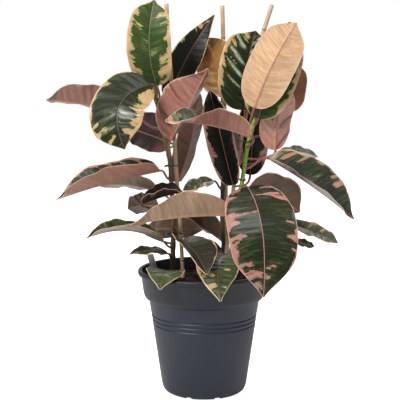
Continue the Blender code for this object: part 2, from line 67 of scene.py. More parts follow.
def add(tree, kind, inputs=None, **options):
    """Add a shader node with its options, and feed its inputs from values or from other nodes."""
    made = tree.nodes.new(kind)
    for name, value in options.items():
        setattr(made, name, value)
    for name, value in (inputs or {}).items():
        if isinstance(value, bpy.types.NodeSocket):
            tree.links.new(value, made.inputs[name])
        else:
            made.inputs[name].default_value = value
    return made


def sum_of(tree, operation, *values, clamp=False):
    """The result of one sum on values or sockets."""
    made = add(tree, "ShaderNodeMath", dict(enumerate(values)), operation=operation, use_clamp=clamp)
    return made.outputs[0]


def eased(tree, value, low, high):
    """Nought below low, one above high, and a soft rise between."""
    inputs = {"Value": value, "From Min": low, "From Max": high}
    return add(tree, "ShaderNodeMapRange", inputs, interpolation_type="SMOOTHSTEP").outputs[0]


def mixed(tree, share, one, two):
    """One colour turning into another by a share."""
    made = add(tree, "ShaderNodeMix", data_type="RGBA")
    for index, value in ((0, share), (6, one), (7, two)):
        if isinstance(value, bpy.types.NodeSocket):
            tree.links.new(value, made.inputs[index])
        elif index:
            made.inputs[index].default_value = (*value, 1.0)
        else:
            made.inputs[index].default_value = value
    return made.outputs[2]


grain_cloud = bpy.data.node_groups.new("grain_cloud", "ShaderNodeTree")
grain_cloud.interface.new_socket("Place", in_out="INPUT", socket_type="NodeSocketVector")
for socket in ("Scale", "Detail", "Roughness"):
    grain_cloud.interface.new_socket(socket, in_out="INPUT", socket_type="NodeSocketFloat")
grain_cloud.interface.new_socket("Cloud", in_out="OUTPUT", socket_type="NodeSocketFloat")
arriving = grain_cloud.nodes.new("NodeGroupInput")
leaving = grain_cloud.nodes.new("NodeGroupOutput")
inputs = {socket: arriving.outputs[socket] for socket in ("Scale", "Detail", "Roughness")}
cloud_noise = add(grain_cloud, "ShaderNodeTexNoise", {"Vector": arriving.outputs["Place"], **inputs})
grain_cloud.links.new(cloud_noise.outputs["Fac"], leaving.inputs["Cloud"])


def speckle(tree, place, scale, detail=3.0, roughness=0.55):
    """Cloudy variation read at a place."""
    inputs = {"Place": place, "Scale": scale, "Detail": detail, "Roughness": roughness}
    made = tree.nodes.new("ShaderNodeGroup")
    made.node_tree = grain_cloud
    for socket, value in inputs.items():
        if isinstance(value, bpy.types.NodeSocket):
            tree.links.new(value, made.inputs[socket])
        else:
            made.inputs[socket].default_value = value
    return made.outputs["Cloud"]


def skin(name, roughness, coat=0.0, coat_roughness=0.1, specular=0.5):
    """A new material, its node tree, its shader, and the object's own coordinates."""
    material = bpy.data.materials.new(name)
    material.use_nodes = True
    tree = material.node_tree
    shader = tree.nodes["Principled BSDF"]
    shader.inputs["Roughness"].default_value = roughness
    shader.inputs["Coat Weight"].default_value = coat
    shader.inputs["Coat Roughness"].default_value = coat_roughness
    shader.inputs["Specular IOR Level"].default_value = specular
    place = add(tree, "ShaderNodeTexCoord").outputs["Object"]
    return material, tree, shader, place


def feed(tree, shader, colour=None, roughness=None, height=None, relief=0.3, depth=0.001):
    """Lead a colour, a roughness and a relief height into the shader."""
    if colour is not None:
        tree.links.new(colour, shader.inputs["Base Color"])
    if roughness is not None:
        tree.links.new(roughness, shader.inputs["Roughness"])
    if height is not None:
        bump = add(tree, "ShaderNodeBump", {"Strength": relief, "Distance": depth, "Height": height})
        tree.links.new(bump.outputs[0], shader.inputs["Normal"])


def finished(name, shape, materials, slot, *nodes):
    """Turn a shape into a finished piece that rides on the frame and stands for its nodes."""
    mesh = bpy.data.meshes.new(name)
    shape.to_mesh(mesh)
    shape.free()
    for material in materials:
        mesh.materials.append(material)
    mesh.shade_smooth()
    mesh.set_sharp_from_angle(angle=math.radians(48))
    piece = bpy.data.objects.new(name, mesh)
    bpy.context.scene.collection.objects.link(piece)
    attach(piece, "root")
    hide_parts(*nodes)
    return piece


def rounded(profile):
    """A (radius, height) profile with each corner drawn as a small arc of its own size."""
    drawn = []
    for index, (radius, height, corner) in enumerate(profile):
        here = Vector((radius, height))
        if not corner or index in (0, len(profile) - 1):
            drawn.append(here)
            continue
        before = Vector(profile[index - 1][:2]) - here
        after = Vector(profile[index + 1][:2]) - here
        start = here + before.normalized() * min(corner, before.length * 0.45)
        end = here + after.normalized() * min(corner, after.length * 0.45)
        for step in range(5):
            share = step / 4
            drawn.append(start * (1 - share) ** 2 + here * 2 * share * (1 - share) + end * share**2)
    return drawn


def turned(profile, steps):
    """A closed shape turned about the pot's upright axis from a profile in millimetres."""
    shape = bmesh.new()
    corners = [shape.verts.new((point[0] * MM, 0, point[1] * MM)) for point in profile]
    edges = [shape.edges.new(pair) for pair in zip(corners, corners[1:])]
    bmesh.ops.spin(
        shape,
        geom=corners + edges,
        axis=(0, 0, 1),
        cent=(0, 0, 0),
        angle=math.tau,
        steps=steps,
        use_merge=True,
    )
    bmesh.ops.remove_doubles(shape, verts=shape.verts, dist=0.005 * MM)
    bmesh.ops.recalc_face_normals(shape, faces=shape.faces)
    return shape


def body_radius(height):
    """The tapered wall's outer radius at a height."""
    (foot_radius, foot), (top_radius, top) = POT_BODY_FOOT, POT_BODY_TOP
    return foot_radius + (top_radius - foot_radius) * (height - foot) / (top - foot)


outside = [(118.7, 225, 0.6), (120, 223.6, 0.9), (120, 217.6, 1.2), (114.6, 216.4, 1.2)]
outside += [(109.8, 181, 6), (106.2, 174.6, 2), (100.2, 171.4, 1.2)]
for groove in POT_GROOVES:
    outside.append((body_radius(groove + POT_GROOVE_REACH), groove + POT_GROOVE_REACH, 0.7))
    outside.append((body_radius(groove) - POT_GROOVE_DEPTH, groove, 1.2))
    outside.append((body_radius(groove - POT_GROOVE_REACH), groove - POT_GROOVE_REACH, 0.7))
outside += [(77, 12, 5), (73.2, 4, 3), (67.5, 0.7, 1), (65, 0, 0.6), (58, 0, 0.5), (57, 1.2, 0.5), (0, 1.2, 0)]
pot_shape = turned(rounded(POT_INSIDE + tuple(outside)), POT_STEPS)
pot_mesh = bpy.data.meshes.new("pot_wall")
pot_shape.to_mesh(pot_mesh)
pot_shape.free()
notch_shape = bmesh.new()
for index in range(POT_NOTCHES):
    notch = bmesh.ops.create_cube(notch_shape, size=1.0)["verts"]
    bmesh.ops.scale(notch_shape, verts=notch, vec=Vector(POT_NOTCH_SIZE) * MM)
    bmesh.ops.translate(notch_shape, verts=notch, vec=(POT_NOTCH_RADIUS * MM, 0, 0))
    turn = Matrix.Rotation(math.radians(POT_NOTCH_TURN + index * 360 / POT_NOTCHES), 3, "Z")
    bmesh.ops.rotate(notch_shape, verts=notch, matrix=turn)
notch_mesh = bpy.data.meshes.new("pot_notches")
notch_shape.to_mesh(notch_mesh)
notch_shape.free()
pot_blank = bpy.data.objects.new("pot_blank", pot_mesh)
notch_tool = bpy.data.objects.new("notch_tool", notch_mesh)
for helper in (pot_blank, notch_tool):
    bpy.context.scene.collection.objects.link(helper)
cut = pot_blank.modifiers.new("Notches", "BOOLEAN")
cut.operation = "DIFFERENCE"
cut.object = notch_tool
bpy.context.view_layer.update()
pot_cut = pot_blank.evaluated_get(bpy.context.evaluated_depsgraph_get())
pot_shape = bmesh.new()
pot_shape.from_mesh(pot_cut.to_mesh())
for helper in (pot_blank, notch_tool):
    bpy.data.objects.remove(helper)

pot_plastic, tree, shader, place = skin("anthracite_polypropylene", 0.42)
cloud = speckle(tree, place, 9.0, 4.0)
grain = speckle(tree, place, 900.0, 2.0)
stretched = add(tree, "ShaderNodeMapping", {"Vector": place, "Scale": (40, 40, 6)}).outputs[0]
scuffs = speckle(tree, stretched, 3.0, 5.0)
scuffed = eased(tree, scuffs, 0.62, 0.75)
height_of_pot = add(tree, "ShaderNodeSeparateXYZ", {"Vector": place}).outputs[2]
dust = sum_of(tree, "MULTIPLY", eased(tree, height_of_pot, 0.17, 0.26), eased(tree, cloud, 0.45, 0.7))
colour = mixed(tree, sum_of(tree, "MULTIPLY", cloud, 0.5), POT_PLASTIC, (0.023, 0.0270, 0.044))
# Darker band above the ledge: partly the band's cleaner plastic, partly painted shade where the flared band faces
# down under the leaves.
cleaner_and_shaded_band = eased(tree, height_of_pot, 0.170, 0.178)
colour = mixed(tree, sum_of(tree, "MULTIPLY", cleaner_and_shaded_band, 0.75), colour, (0.006, 0.0072, 0.012))
colour = mixed(tree, sum_of(tree, "MULTIPLY", dust, 0.03), colour, POT_DUST)
colour = mixed(tree, sum_of(tree, "MULTIPLY", scuffed, 0.05), colour, (0.2, 0.2, 0.2))
gloss = sum_of(tree, "ADD", 0.36, sum_of(tree, "MULTIPLY", cloud, 0.16))
feed(tree, shader, colour, gloss, grain, 0.12, 0.0002)
finished("pot_moulded", pot_shape, [pot_plastic], "pot_plastic", "pot")


# Soil. Dark peat with bark crumbs, filled to a finger's width below the lip, heaped a little here and
# there and sunk at the wall where water has run down.
SOIL_TOP = 205
SOIL_SINK = 6
SOIL_SEED = 41
SOIL_CRUMBS = 2600
SOIL_RADIUS = 108.8
PEAT = (0.013, 0.0055, 0.0035)
BARK = (0.060, 0.024, 0.013)


def soil_height(x, y):
    """The height of the soil's rough top at a place, all in millimetres."""
    reach = math.hypot(x, y) / SOIL_RADIUS
    rough = noise.fractal((x / 26, y / 26, 3.0), 0.9, 2.1, 5) * 1.6
    heap = noise.noise((x / 60, y / 60, 9.0)) * 2.2
    return SOIL_TOP - 1.5 + heap + rough - SOIL_SINK * max(0.0, reach - 0.88) / 0.12 * 0.5


soil_profile = [(0, 5), (62, 5), (70, 9), (74, 16), (97, 174), (106.6, 185), (SOIL_RADIUS, SOIL_TOP - 4)]
soil_profile += [(SOIL_RADIUS * (1 - ring / 56), SOIL_TOP) for ring in range(1, 57)]
soil_shape = turned([Vector(point) for point in soil_profile], 128)
for vertex in soil_shape.verts:
    if vertex.co.z > (SOIL_TOP - 1) * MM:
        vertex.co.z = soil_height(vertex.co.x / MM, vertex.co.y / MM) * MM
draw = random.Random(SOIL_SEED)
for _ in range(SOIL_CRUMBS):
    reach = SOIL_RADIUS * 0.965 * math.sqrt(draw.random())
    angle = draw.uniform(0, math.tau)
    x, y = reach * math.cos(angle), reach * math.sin(angle)
    size = draw.uniform(0.6, 1.5) if draw.random() < 0.86 else draw.uniform(1.6, 3.2)
    squeeze = (draw.uniform(0.7, 1.7), draw.uniform(0.6, 1.1), draw.uniform(0.4, 0.8))
    tumble = Euler([draw.uniform(0, math.tau) for _ in range(3)])
    lift = soil_height(x, y) + size * draw.uniform(-0.2, 0.35)
    crumb = Matrix.LocRotScale(Vector((x, y, lift)) * MM, tumble, squeeze)
    bmesh.ops.create_icosphere(soil_shape, subdivisions=1, radius=size * MM, matrix=crumb)

peat, tree, shader, place = skin("damp_peat", 0.95, specular=0.1)
clods = speckle(tree, place, 160.0, 5.0, 0.7)
patches = speckle(tree, place, 34.0, 3.0)
colour = mixed(tree, eased(tree, clods, 0.4, 0.75), PEAT, (0.05, 0.024, 0.015))
colour = mixed(tree, eased(tree, patches, 0.56, 0.75), colour, BARK)
damp = sum_of(tree, "SUBTRACT", 1.0, sum_of(tree, "MULTIPLY", patches, 0.4))
feed(tree, shader, colour, damp, clods, 0.9, 0.001)
finished("soil_crumbly", soil_shape, [peat], "soil", "soil")


# Plant label. A bare strip of grey polypropylene sheet, die cut with round corners at the top and a
# pointed foot, pushed into the soil by the rim at a slant.
LABEL_THICKNESS = 0.8
LABEL_TOP = (-99, 20, 248)
LABEL_LEAN = 16
LABEL_TURN = 12
label_shape = bmesh.new()
label_outline = [(-4.5, 0), (-6, -1.5), (-6, -85), (-1.5, -100), (1.5, -100), (6, -85), (6, -1.5), (4.5, 0)]
label_face = label_shape.faces.new([label_shape.verts.new((x * MM, 0, z * MM)) for x, z in label_outline])
label_deep = bmesh.ops.extrude_face_region(label_shape, geom=[label_face])["geom"]
label_moved = [item for item in label_deep if isinstance(item, bmesh.types.BMVert)]
bmesh.ops.translate(label_shape, verts=label_moved, vec=(0, LABEL_THICKNESS * MM, 0))
bmesh.ops.translate(label_shape, verts=label_shape.verts, vec=(0, -LABEL_THICKNESS * MM / 2, 0))
rims = [edge for edge in label_shape.edges if abs(edge.verts[0].co.y - edge.verts[1].co.y) < 0.1 * MM]
bmesh.ops.bevel(label_shape, geom=rims, offset=0.18 * MM, affect="EDGES", segments=2, profile=0.5, material=-1)
label_lean = Matrix.Rotation(math.radians(LABEL_LEAN), 4, "Y").inverted()
label_turn = Matrix.Rotation(math.radians(LABEL_TURN), 4, "Z")
label_place = Matrix.Translation(Vector(LABEL_TOP) * MM) @ label_turn @ label_lean
bmesh.ops.transform(label_shape, matrix=label_place, verts=label_shape.verts)
bmesh.ops.recalc_face_normals(label_shape, faces=label_shape.faces)
label_plastic, tree, shader, place = skin("label_sheet", 0.5)
smears = speckle(tree, place, 60.0, 4.0)
low = eased(tree, add(tree, "ShaderNodeSeparateXYZ", {"Vector": place}).outputs[2], 0.232, 0.206)
colour = mixed(tree, smears, (0.42, 0.41, 0.45), (0.50, 0.49, 0.53))
colour = mixed(tree, sum_of(tree, "MULTIPLY", low, smears), colour, BARK)
roughness = sum_of(tree, "ADD", 0.42, sum_of(tree, "MULTIPLY", smears, 0.2))
feed(tree, shader, colour, roughness, smears, 0.05, 0.0003)
finished("plant_label_bare", label_shape, [label_plastic], "label_plastic", "plant_label")


# Bamboo stakes. Three split-free canes as thick as a pencil core, pushed half way down the pot beside the
# stems. Each has a raised joint every hand's width, a shallow groove under it and a sawn, hollow top.
STAKE_ROUTES = {
    "left": ((-33.5, 24, 100), (-44, 20, 308), (-50, 19, 394), (-58, 16, 549), (-67, 12, 700)),
    "back": ((47, 58, 100), (40, 58, 362), (35, 71, 625), (33, 76, 697)),
    "right": ((27, 34, 100), (52.5, 31, 362), (65, 32, 446), (104, 46, 642), (122, 50, 698)),
}
STAKE_JOINTS = {
    "left": (238, 352, 466, 584, 668),
    "back": (180, 300, 418, 530, 640),
    "right": (214, 330, 441, 556, 655),
}
STAKE_RADIUS = 3.7
STAKE_STATIONS = 12
STAKE_COLUMNS = 18
CANE = (0.52, 0.36, 0.19)
CANE_PALE = (0.64, 0.49, 0.32)
CANE_DARK = (0.30, 0.155, 0.06)


def smooth_route(points, count):
    """A smooth curve through given points, read at even steps along it."""
    points = [Vector(point) for point in points]
    lengths = [0.0]
    for one, two in zip(points, points[1:]):
        lengths.append(lengths[-1] + (two - one).length)
    slopes = []
    for index in range(len(points)):
        before = max(index - 1, 0)
        after = min(index + 1, len(points) - 1)
        slopes.append((points[after] - points[before]) / (lengths[after] - lengths[before]))
    route = []
    for step in range(count):
        along = lengths[-1] * step / (count - 1)
        index = max(i for i in range(len(points) - 1) if lengths[i] <= along + 1e-9)
        gap = lengths[index + 1] - lengths[index]
        share = (along - lengths[index]) / gap
        square = share * share
        cube = square * share
        route.append(
            points[index] * (2 * cube - 3 * square + 1)
            + slopes[index] * gap * (cube - 2 * square + share)
            + points[index + 1] * (3 * square - 2 * cube)
            + slopes[index + 1] * gap * (cube - square)
        )
    return route


def at_height(route, height):
    """The place on a rising route at a height, its direction there, and its share of the way up."""
    for index, (one, two) in enumerate(zip(route, route[1:])):
        if one.z <= height <= two.z:
            share = (height - one.z) / (two.z - one.z)
            place = one.lerp(two, share)
            return place, (two - one).normalized(), (index + share) / (len(route) - 1)
    raise ValueError(f"no point of the route is at {height}")


def wrapped(shape, columns, rows, lay):
    """Lay a net round into a closed tube: lay(column, row) gives each point in millimetres."""
    made = bmesh.ops.create_grid(shape, x_segments=columns, y_segments=rows, size=1.0)["verts"]
    placed = {}
    for vertex in made:
        column = round((vertex.co.x + 1) / 2 * columns)
        row = round((vertex.co.y + 1) / 2 * rows)
        placed[column, row] = vertex
    seam = {}
    for (column, row), vertex in placed.items():
        vertex.co = lay(column % columns, row) * MM
        if column == columns:
            seam[vertex] = placed[0, row]
    bmesh.ops.weld_verts(shape, targetmap=seam)
    ends = [edge for edge in shape.edges if edge.is_boundary]
    caps = bmesh.ops.holes_fill(shape, edges=ends)["faces"]
    bmesh.ops.triangulate(shape, faces=caps)
    bmesh.ops.recalc_face_normals(shape, faces=shape.faces)
    shape.verts.index_update()
    return {vertex.index: key for key, vertex in placed.items() if key[0] < columns}


def upright_rings(route, heights):
    """The place and two level directions at each height of a rising route."""
    rings = []
    for height in heights:
        place, rise, _ = at_height(route, height)
        side = Vector((1, 0, 0))
        side = (side - rise * side.dot(rise)).normalized()
        rings.append((place, side, rise.cross(side)))
    return rings


cane, tree, shader, place = skin("bamboo_cane", 0.38, coat=0.15, coat_roughness=0.25)
fibre = add(tree, "ShaderNodeMapping", {"Vector": place, "Scale": (700, 700, 14)}).outputs[0]
streaks = speckle(tree, fibre, 1.0, 3.0)
blotch = speckle(tree, place, 22.0, 3.0)
ring_mark = add(tree, "ShaderNodeAttribute", attribute_name="joint").outputs["Fac"]
colour = mixed(tree, streaks, CANE, CANE_PALE)
blotched = sum_of(tree, "MULTIPLY", eased(tree, blotch, 0.52, 0.72), 0.45)
colour = mixed(tree, blotched, colour, (0.46, 0.27, 0.10))
colour = mixed(tree, sum_of(tree, "MULTIPLY", ring_mark, 0.75), colour, CANE_DARK)
wood_relief = sum_of(tree, "SUBTRACT", streaks, sum_of(tree, "MULTIPLY", ring_mark, 0.5))
roughness = sum_of(tree, "ADD", 0.3, sum_of(tree, "MULTIPLY", streaks, 0.2))
feed(tree, shader, colour, roughness, wood_relief, 0.2, 0.0003)
cane_end, tree, shader, place = skin("sawn_cane_end", 0.8)
pith = speckle(tree, place, 900.0, 3.0)
feed(tree, shader, mixed(tree, pith, (0.50, 0.36, 0.20), (0.25, 0.15, 0.07)), None, pith, 0.6, 0.0003)

for name, points in STAKE_ROUTES.items():
    stake_route = smooth_route(points, STAKE_STATIONS)
    low, high = stake_route[0].z, stake_route[-1].z
    joints = STAKE_JOINTS[name]
    heights = {low, high - 0.4}
    heights.update(low + (high - low) * step / 60 for step in range(60))
    for joint in joints:
        heights.update(joint + step for step in (-4.5, -3, -2, -1.2, -0.5, 0, 0.5, 1.2, 2, 3.2, 5))
    levels = []
    for height in sorted(height for height in heights if low <= height < high):
        bulge = 0.0
        for joint in joints:
            step = height - joint
            bulge += 0.55 * math.exp(-((step / 1.5) ** 2)) - 0.22 * math.exp(-((step + 2.6) ** 2))
        levels.append((height, bulge))
    levels += [(high, -0.4), (high, -1.6), (high - 6, -1.8)]
    rings = upright_rings(stake_route, [height for height, bulge in levels])
    shape = bmesh.new()

    def cane_point(column, row):
        centre, side, other = rings[row]
        height, bulge = levels[row]
        angle = math.tau * column / STAKE_COLUMNS
        reach = STAKE_RADIUS + bulge + 0.07 * math.sin(3 * angle + height / 40)
        return centre + (side * math.cos(angle) + other * math.sin(angle)) * reach

    placed = wrapped(shape, STAKE_COLUMNS, len(levels) - 1, cane_point)
    mark = shape.verts.layers.float.new("joint")
    for vertex in shape.verts:
        near = min(abs(vertex.co.z / MM - joint + 0.6) for joint in joints)
        vertex[mark] = math.exp(-((near / 1.6) ** 2))
    for face in shape.faces:
        rows = [placed[vertex.index][1] for vertex in face.verts]
        face.material_index = 1 if min(rows) >= len(levels) - 3 or max(rows) == 0 else 0
    finished(f"stake_{name}_cane", shape, [cane, cane_end], "bamboo", f"stake_{name}")


# Stems. Three rubber plants grow in the pot. Each stem is smooth and swells a little at every leaf, with
# a ring scar where a sheath fell; it is green where it is young and turns brown and corky below.
STEM_ROUTES = {
    "left": ((-60, 20, 178), (-57, 18, 256), (-56, 16, 316), (-59, 14, 376),
             (-62, 12, 422), (-69, 10, 455), (-79, 8, 503), (-87, 6, 536)),
    "back": ((38, 46, 178), (36, 45, 265), (33, 44, 308), (34, 44, 364),
             (34, 43, 437), (34, 42, 510), (36, 42, 532)),
    "right": ((46, 16, 178), (53, 16, 293), (67, 14, 372), (74, 14, 422),
              (77, 14, 444), (83, 11, 469), (91, 6, 498)),
}
STEM_RADII = {"left": (5.2, 3.6), "back": (5.0, 3.4), "right": (5.0, 3.6)}
STEM_STATIONS = 14
STEM_YOUNG = {"left": (380, 450), "back": (430, 520), "right": (225, 330)}
STEM_GREEN = {"left": (0.12, 0.16, 0.035), "back": (0.13, 0.15, 0.03), "right": (0.22, 0.34, 0.048)}
STEM_BROWN = {"left": (0.085, 0.055, 0.028), "back": (0.06, 0.04, 0.025), "right": (0.13, 0.085, 0.04)}

# Leaves. Each is one thick waxy blade on its own stalk, broadest at the middle, with a furrowed midrib
# above and a round one below. Base and tip are the ends of the blade, faces the way its upper side looks.
Leaf = namedtuple("Leaf", "name stem root base tip bow sweep width faces fold twist point")
LEAVES = (
    Leaf("left_crown_upright", "left", 530, (-84, 0, 556), (-87, -16, 706), 22, 7, 79, (-10, 12), 10, 0, 0.1),
    Leaf("left_crown_hanging", "left", 528, (-93, -26, 560), (-137, -84, 452), 24, -30, 98, (-12, 28), 8, 0, 0.13),
    Leaf("left_far_upper", "left", 480, (-123, 0, 501), (-279, -14, 532), 6, 0, 80, (180, 50), 32, 0, 0.16),
    Leaf("left_shaded", "left", 442, (-62, 58, 449), (-145, 63, 477), 4, 0, 84, (180, 26), 14, 0, 0.16),
    Leaf("left_crown_back", "left", 505, (-66, 40, 528), (18, 50, 680), -4, 7, 57, (0, 15), 14, 0, 0.36),
    Leaf("centre_upright_front", "left", 430, (-60, -17, 461), (6, -40, 588), 4, 4, 108, (-145, 10), 44, 0, 0.36),
    Leaf("centre_upright_back", "left", 390, (-48, 43, 380), (-8, 50, 539), 4, 9, 56, (-150, 10), 30, 0, 0.16),
    Leaf("back_crown_olive", "back", 500, (32, 50, 533), (-2, 57, 640), 4, 8, 78, (180, 10), 12, 0, 0.16),
    Leaf("right_crown_splashed", "right", 470, (73, 14, 512), (92, 32, 652), 6, 6, 100, (-4, 8), 8, 0, 0.1),
    Leaf("right_crown_peach", "right", 476, (88, -18, 519), (159, -40, 667), -6, -5, 84, (172, 5), 10, 0, 0.12),
    Leaf("right_crown_inner", "right", 487, (96, -4, 498), (150, -8, 668), 2, 0, 92, (4, 8), 8, 0, 0.2),
    Leaf("right_outer_upper", "right", 464, (147, 45, 506), (159, 52, 600), 4, 0, 74, (185, 20), 12, 0, 0.16),
    Leaf("right_outer_middle", "right", 425, (128, 17, 440), (152, 6, 556), 6, -6, 64, (200, 10), 14, 0, 0.16),
    Leaf("right_inner_dark", "right", 374, (85, 62, 389), (94, 73, 536), 4, 0, 60, (0, 5), 8, 0, 0.16),
    Leaf("centre_crossing", "right", 446, (80, -34, 470), (-67, -86, 501), 8, 0, 76, (180, 50), 34, -90, 0.2),
    Leaf("centre_dark", "right", 374, (52, 24, 375), (10, 22, 548), 4, 0, 68, (-10, 12), 42, 0, 0.16),
    Leaf("centre_grey", "back", 395, (56, 40, 404), (36, 50, 482), 4, 0, 46, (180, 10), 12, 0, 0.16),
    Leaf("right_long", "right", 408, (114, -8, 428), (265, -40, 323), 6, 0, 92, (0, 68), 42, 0, 0.24),
    Leaf("right_small_back", "right", 415, (138, 42, 432), (208, 54, 423), 6, 0, 34, (0, 65), 12, 0, 0.16),
    Leaf("front_large", "right", 372, (77, -16, 377), (100, -150, 207), 42, 8, 121, (3, 42), 6, 0, 0.18),
    Leaf("right_under", "right", 358, (80, 24, 370), (175, 34, 324), 8, 0, 98, (160, 32), 14, 0, 0.16),
    Leaf("right_lower", "right", 312, (154, -6, 310), (237, -40, 280), 3, 0, 36, (10, 55), 16, 0, 0.16),
    Leaf("right_lower_small", "right", 275, (163, 10, 276), (199, 4, 265), 1, 0, 17, (0, 45), 8, 0, 0.16),
    Leaf("left_long", "left", 388, (-79, 0, 405), (-263, -30, 356), 4, 0, 84, (0, 86), 50, 0, 0.22),
    Leaf("left_long_back", "left", 352, (-86, 40, 362), (-192, 60, 368), 8, 0, 60, (-170, 50), 20, 0, 0.16),
    Leaf("centre_cream_edge", "left", 332, (-110, 0, 346), (-38, -12, 368), 2, 0, 58, (0, 80), 40, 0, 0.16),
    Leaf("centre_small_splashed", "back", 366, (16, 22, 383), (-38, 4, 368), 4, 0, 32, (0, 60), 10, 0, 0.16),
    Leaf("centre_long_tan", "right", 325, (44, -14, 326), (-129, -75, 318), 6, 0, 96, (180, 45), 35, 0, 0.42),
    Leaf("left_round_back", "left", 326, (-83, 45, 335), (-141, 57, 327), 4, 0, 60, (-170, 40), 10, 0, 0.12),
    Leaf("left_lower_arched", "left", 262, (-75, 2, 276), (-210, -35, 287), 18, 0, 54, (0, 86), 34, 0, 0.16),
    Leaf("left_lower_back", "left", 268, (-107, 50, 287), (-3, 62, 286), 4, 0, 52, (180, 30), 8, 0, 0.16),
    Leaf("back_lower_olive", "back", 254, (31, 78, 265), (-37, 86, 304), 2, 0, 66, (180, 45), 35, 0, 0.16),
    Leaf("left_lower_twisted", "left", 242, (-66, 0, 254), (-133, -30, 258), 6, 0, 32, (0, 72), 8, 0, 0.16),
    Leaf("front_left_rim", "left", 213, (-64, -14, 215), (-76, -136, 217), 20, 0, 68, (20, 78), 6, 0, 0.3),
    Leaf("front_right_rim", "right", 228, (35, -20, 257), (27, -160, 202), 16, -8, 76, (0, 62), 8, 0, 0.34),
    Leaf("front_folded", "left", 300, (-44, -14, 281), (4, -128, 241), 10, 0, 80, (35, 52), 28, 0, 0.3),
    Leaf("front_striped", "back", 235, (31, 32, 251), (-33, 26, 265), 2, 0, 34, (-10, 50), 16, 0, 0.16),
)


def stem_radius(stem, share):
    """The stem's radius a share of the way up it."""
    foot, top = STEM_RADII[stem]
    return foot + (top - foot) * share


def stem_bark(name):
    """One stem's skin: its young green, its old brown, pores and ring scars."""
    bark, tree, shader, place = skin(f"{name}_stem_bark", 0.45, coat=0.1, coat_roughness=0.3)
    height = add(tree, "ShaderNodeSeparateXYZ", {"Vector": place}).outputs[2]
    low, high = STEM_YOUNG[name]
    patchy = speckle(tree, place, 70.0, 4.0)
    short = add(tree, "ShaderNodeMapping", {"Vector": place, "Scale": (900, 900, 420)}).outputs[0]
    pores = speckle(tree, short, 1.0, 2.0)
    long = add(tree, "ShaderNodeMapping", {"Vector": place, "Scale": (600, 600, 40)}).outputs[0]
    fibres = speckle(tree, long, 1.0, 3.0)
    wander = sum_of(tree, "MULTIPLY", sum_of(tree, "SUBTRACT", patchy, 0.5), 0.09)
    young = eased(tree, sum_of(tree, "ADD", height, wander), low * MM, high * MM)
    ring_mark = add(tree, "ShaderNodeAttribute", attribute_name="joint").outputs["Fac"]
    green = STEM_GREEN[name]
    pale = tuple(min(1.0, value * 1.6) for value in green)
    brown = STEM_BROWN[name]
    colour = mixed(tree, eased(tree, fibres, 0.3, 0.8), brown, tuple(value * 1.9 for value in brown))
    colour = mixed(tree, young, colour, mixed(tree, fibres, green, pale))
    pitted = sum_of(tree, "MULTIPLY", eased(tree, pores, 0.66, 0.74), 0.5)
    colour = mixed(tree, pitted, colour, (0.22, 0.16, 0.09))
    colour = mixed(tree, sum_of(tree, "MULTIPLY", ring_mark, 0.65), colour, (0.10, 0.05, 0.025))
    rough = sum_of(tree, "SUBTRACT", 0.7, sum_of(tree, "MULTIPLY", young, 0.32))
    relief = sum_of(tree, "ADD", sum_of(tree, "MULTIPLY", pores, 0.7), fibres)
    feed(tree, shader, colour, rough, relief, 0.35, 0.0004)
    return bark


stem_routes = {name: smooth_route(points, STEM_STATIONS) for name, points in STEM_ROUTES.items()}
for name, route in stem_routes.items():
    low, high = route[0].z, route[-1].z
    scars = sorted({leaf.root for leaf in LEAVES if leaf.stem == name})
    old = low + 34
    while old < scars[0] - 18:
        scars.append(old)
        old += 17
    heights = {low, high}
    heights.update(low + (high - low) * step / 90 for step in range(91))
    for scar in scars:
        heights.update(scar + step for step in (-6, -4.5, -3, -2, -1.2, -0.4, 0.4, 1.2, 2.2, 3.5, 5))
    heights = sorted(height for height in heights if low <= height <= high)
    rings = upright_rings(route, heights)
    reaches = []
    for index, height in enumerate(heights):
        swell = 0.0
        for scar in scars:
            step = height - scar
            swell = max(swell, 0.75 * math.exp(-(step / 5.0) ** 2) + 0.35 * math.exp(-((step - 2) / 0.9) ** 2))
        share = at_height(route, height)[2]
        reaches.append(stem_radius(name, share) + swell - 0.25)
    shape = bmesh.new()

    def stem_point(column, row):
        centre, side, other = rings[row]
        angle = math.tau * column / 24
        knobble = noise.noise((math.cos(angle) * 2, math.sin(angle) * 2, heights[row] / 16)) * 0.22
        return centre + (side * math.cos(angle) + other * math.sin(angle)) * (reaches[row] + knobble)

    wrapped(shape, 24, len(heights) - 1, stem_point)
    mark = shape.verts.layers.float.new("joint")
    for vertex in shape.verts:
        near = min(abs(vertex.co.z / MM - scar - 2) for scar in scars)
        vertex[mark] = math.exp(-(near / 0.9) ** 2)
    finish_slot = "green_stem" if name == "right" else "brown_stem"
    finished(f"stem_{name}_bark", shape, [stem_bark(name)], finish_slot, f"stem_{name}")


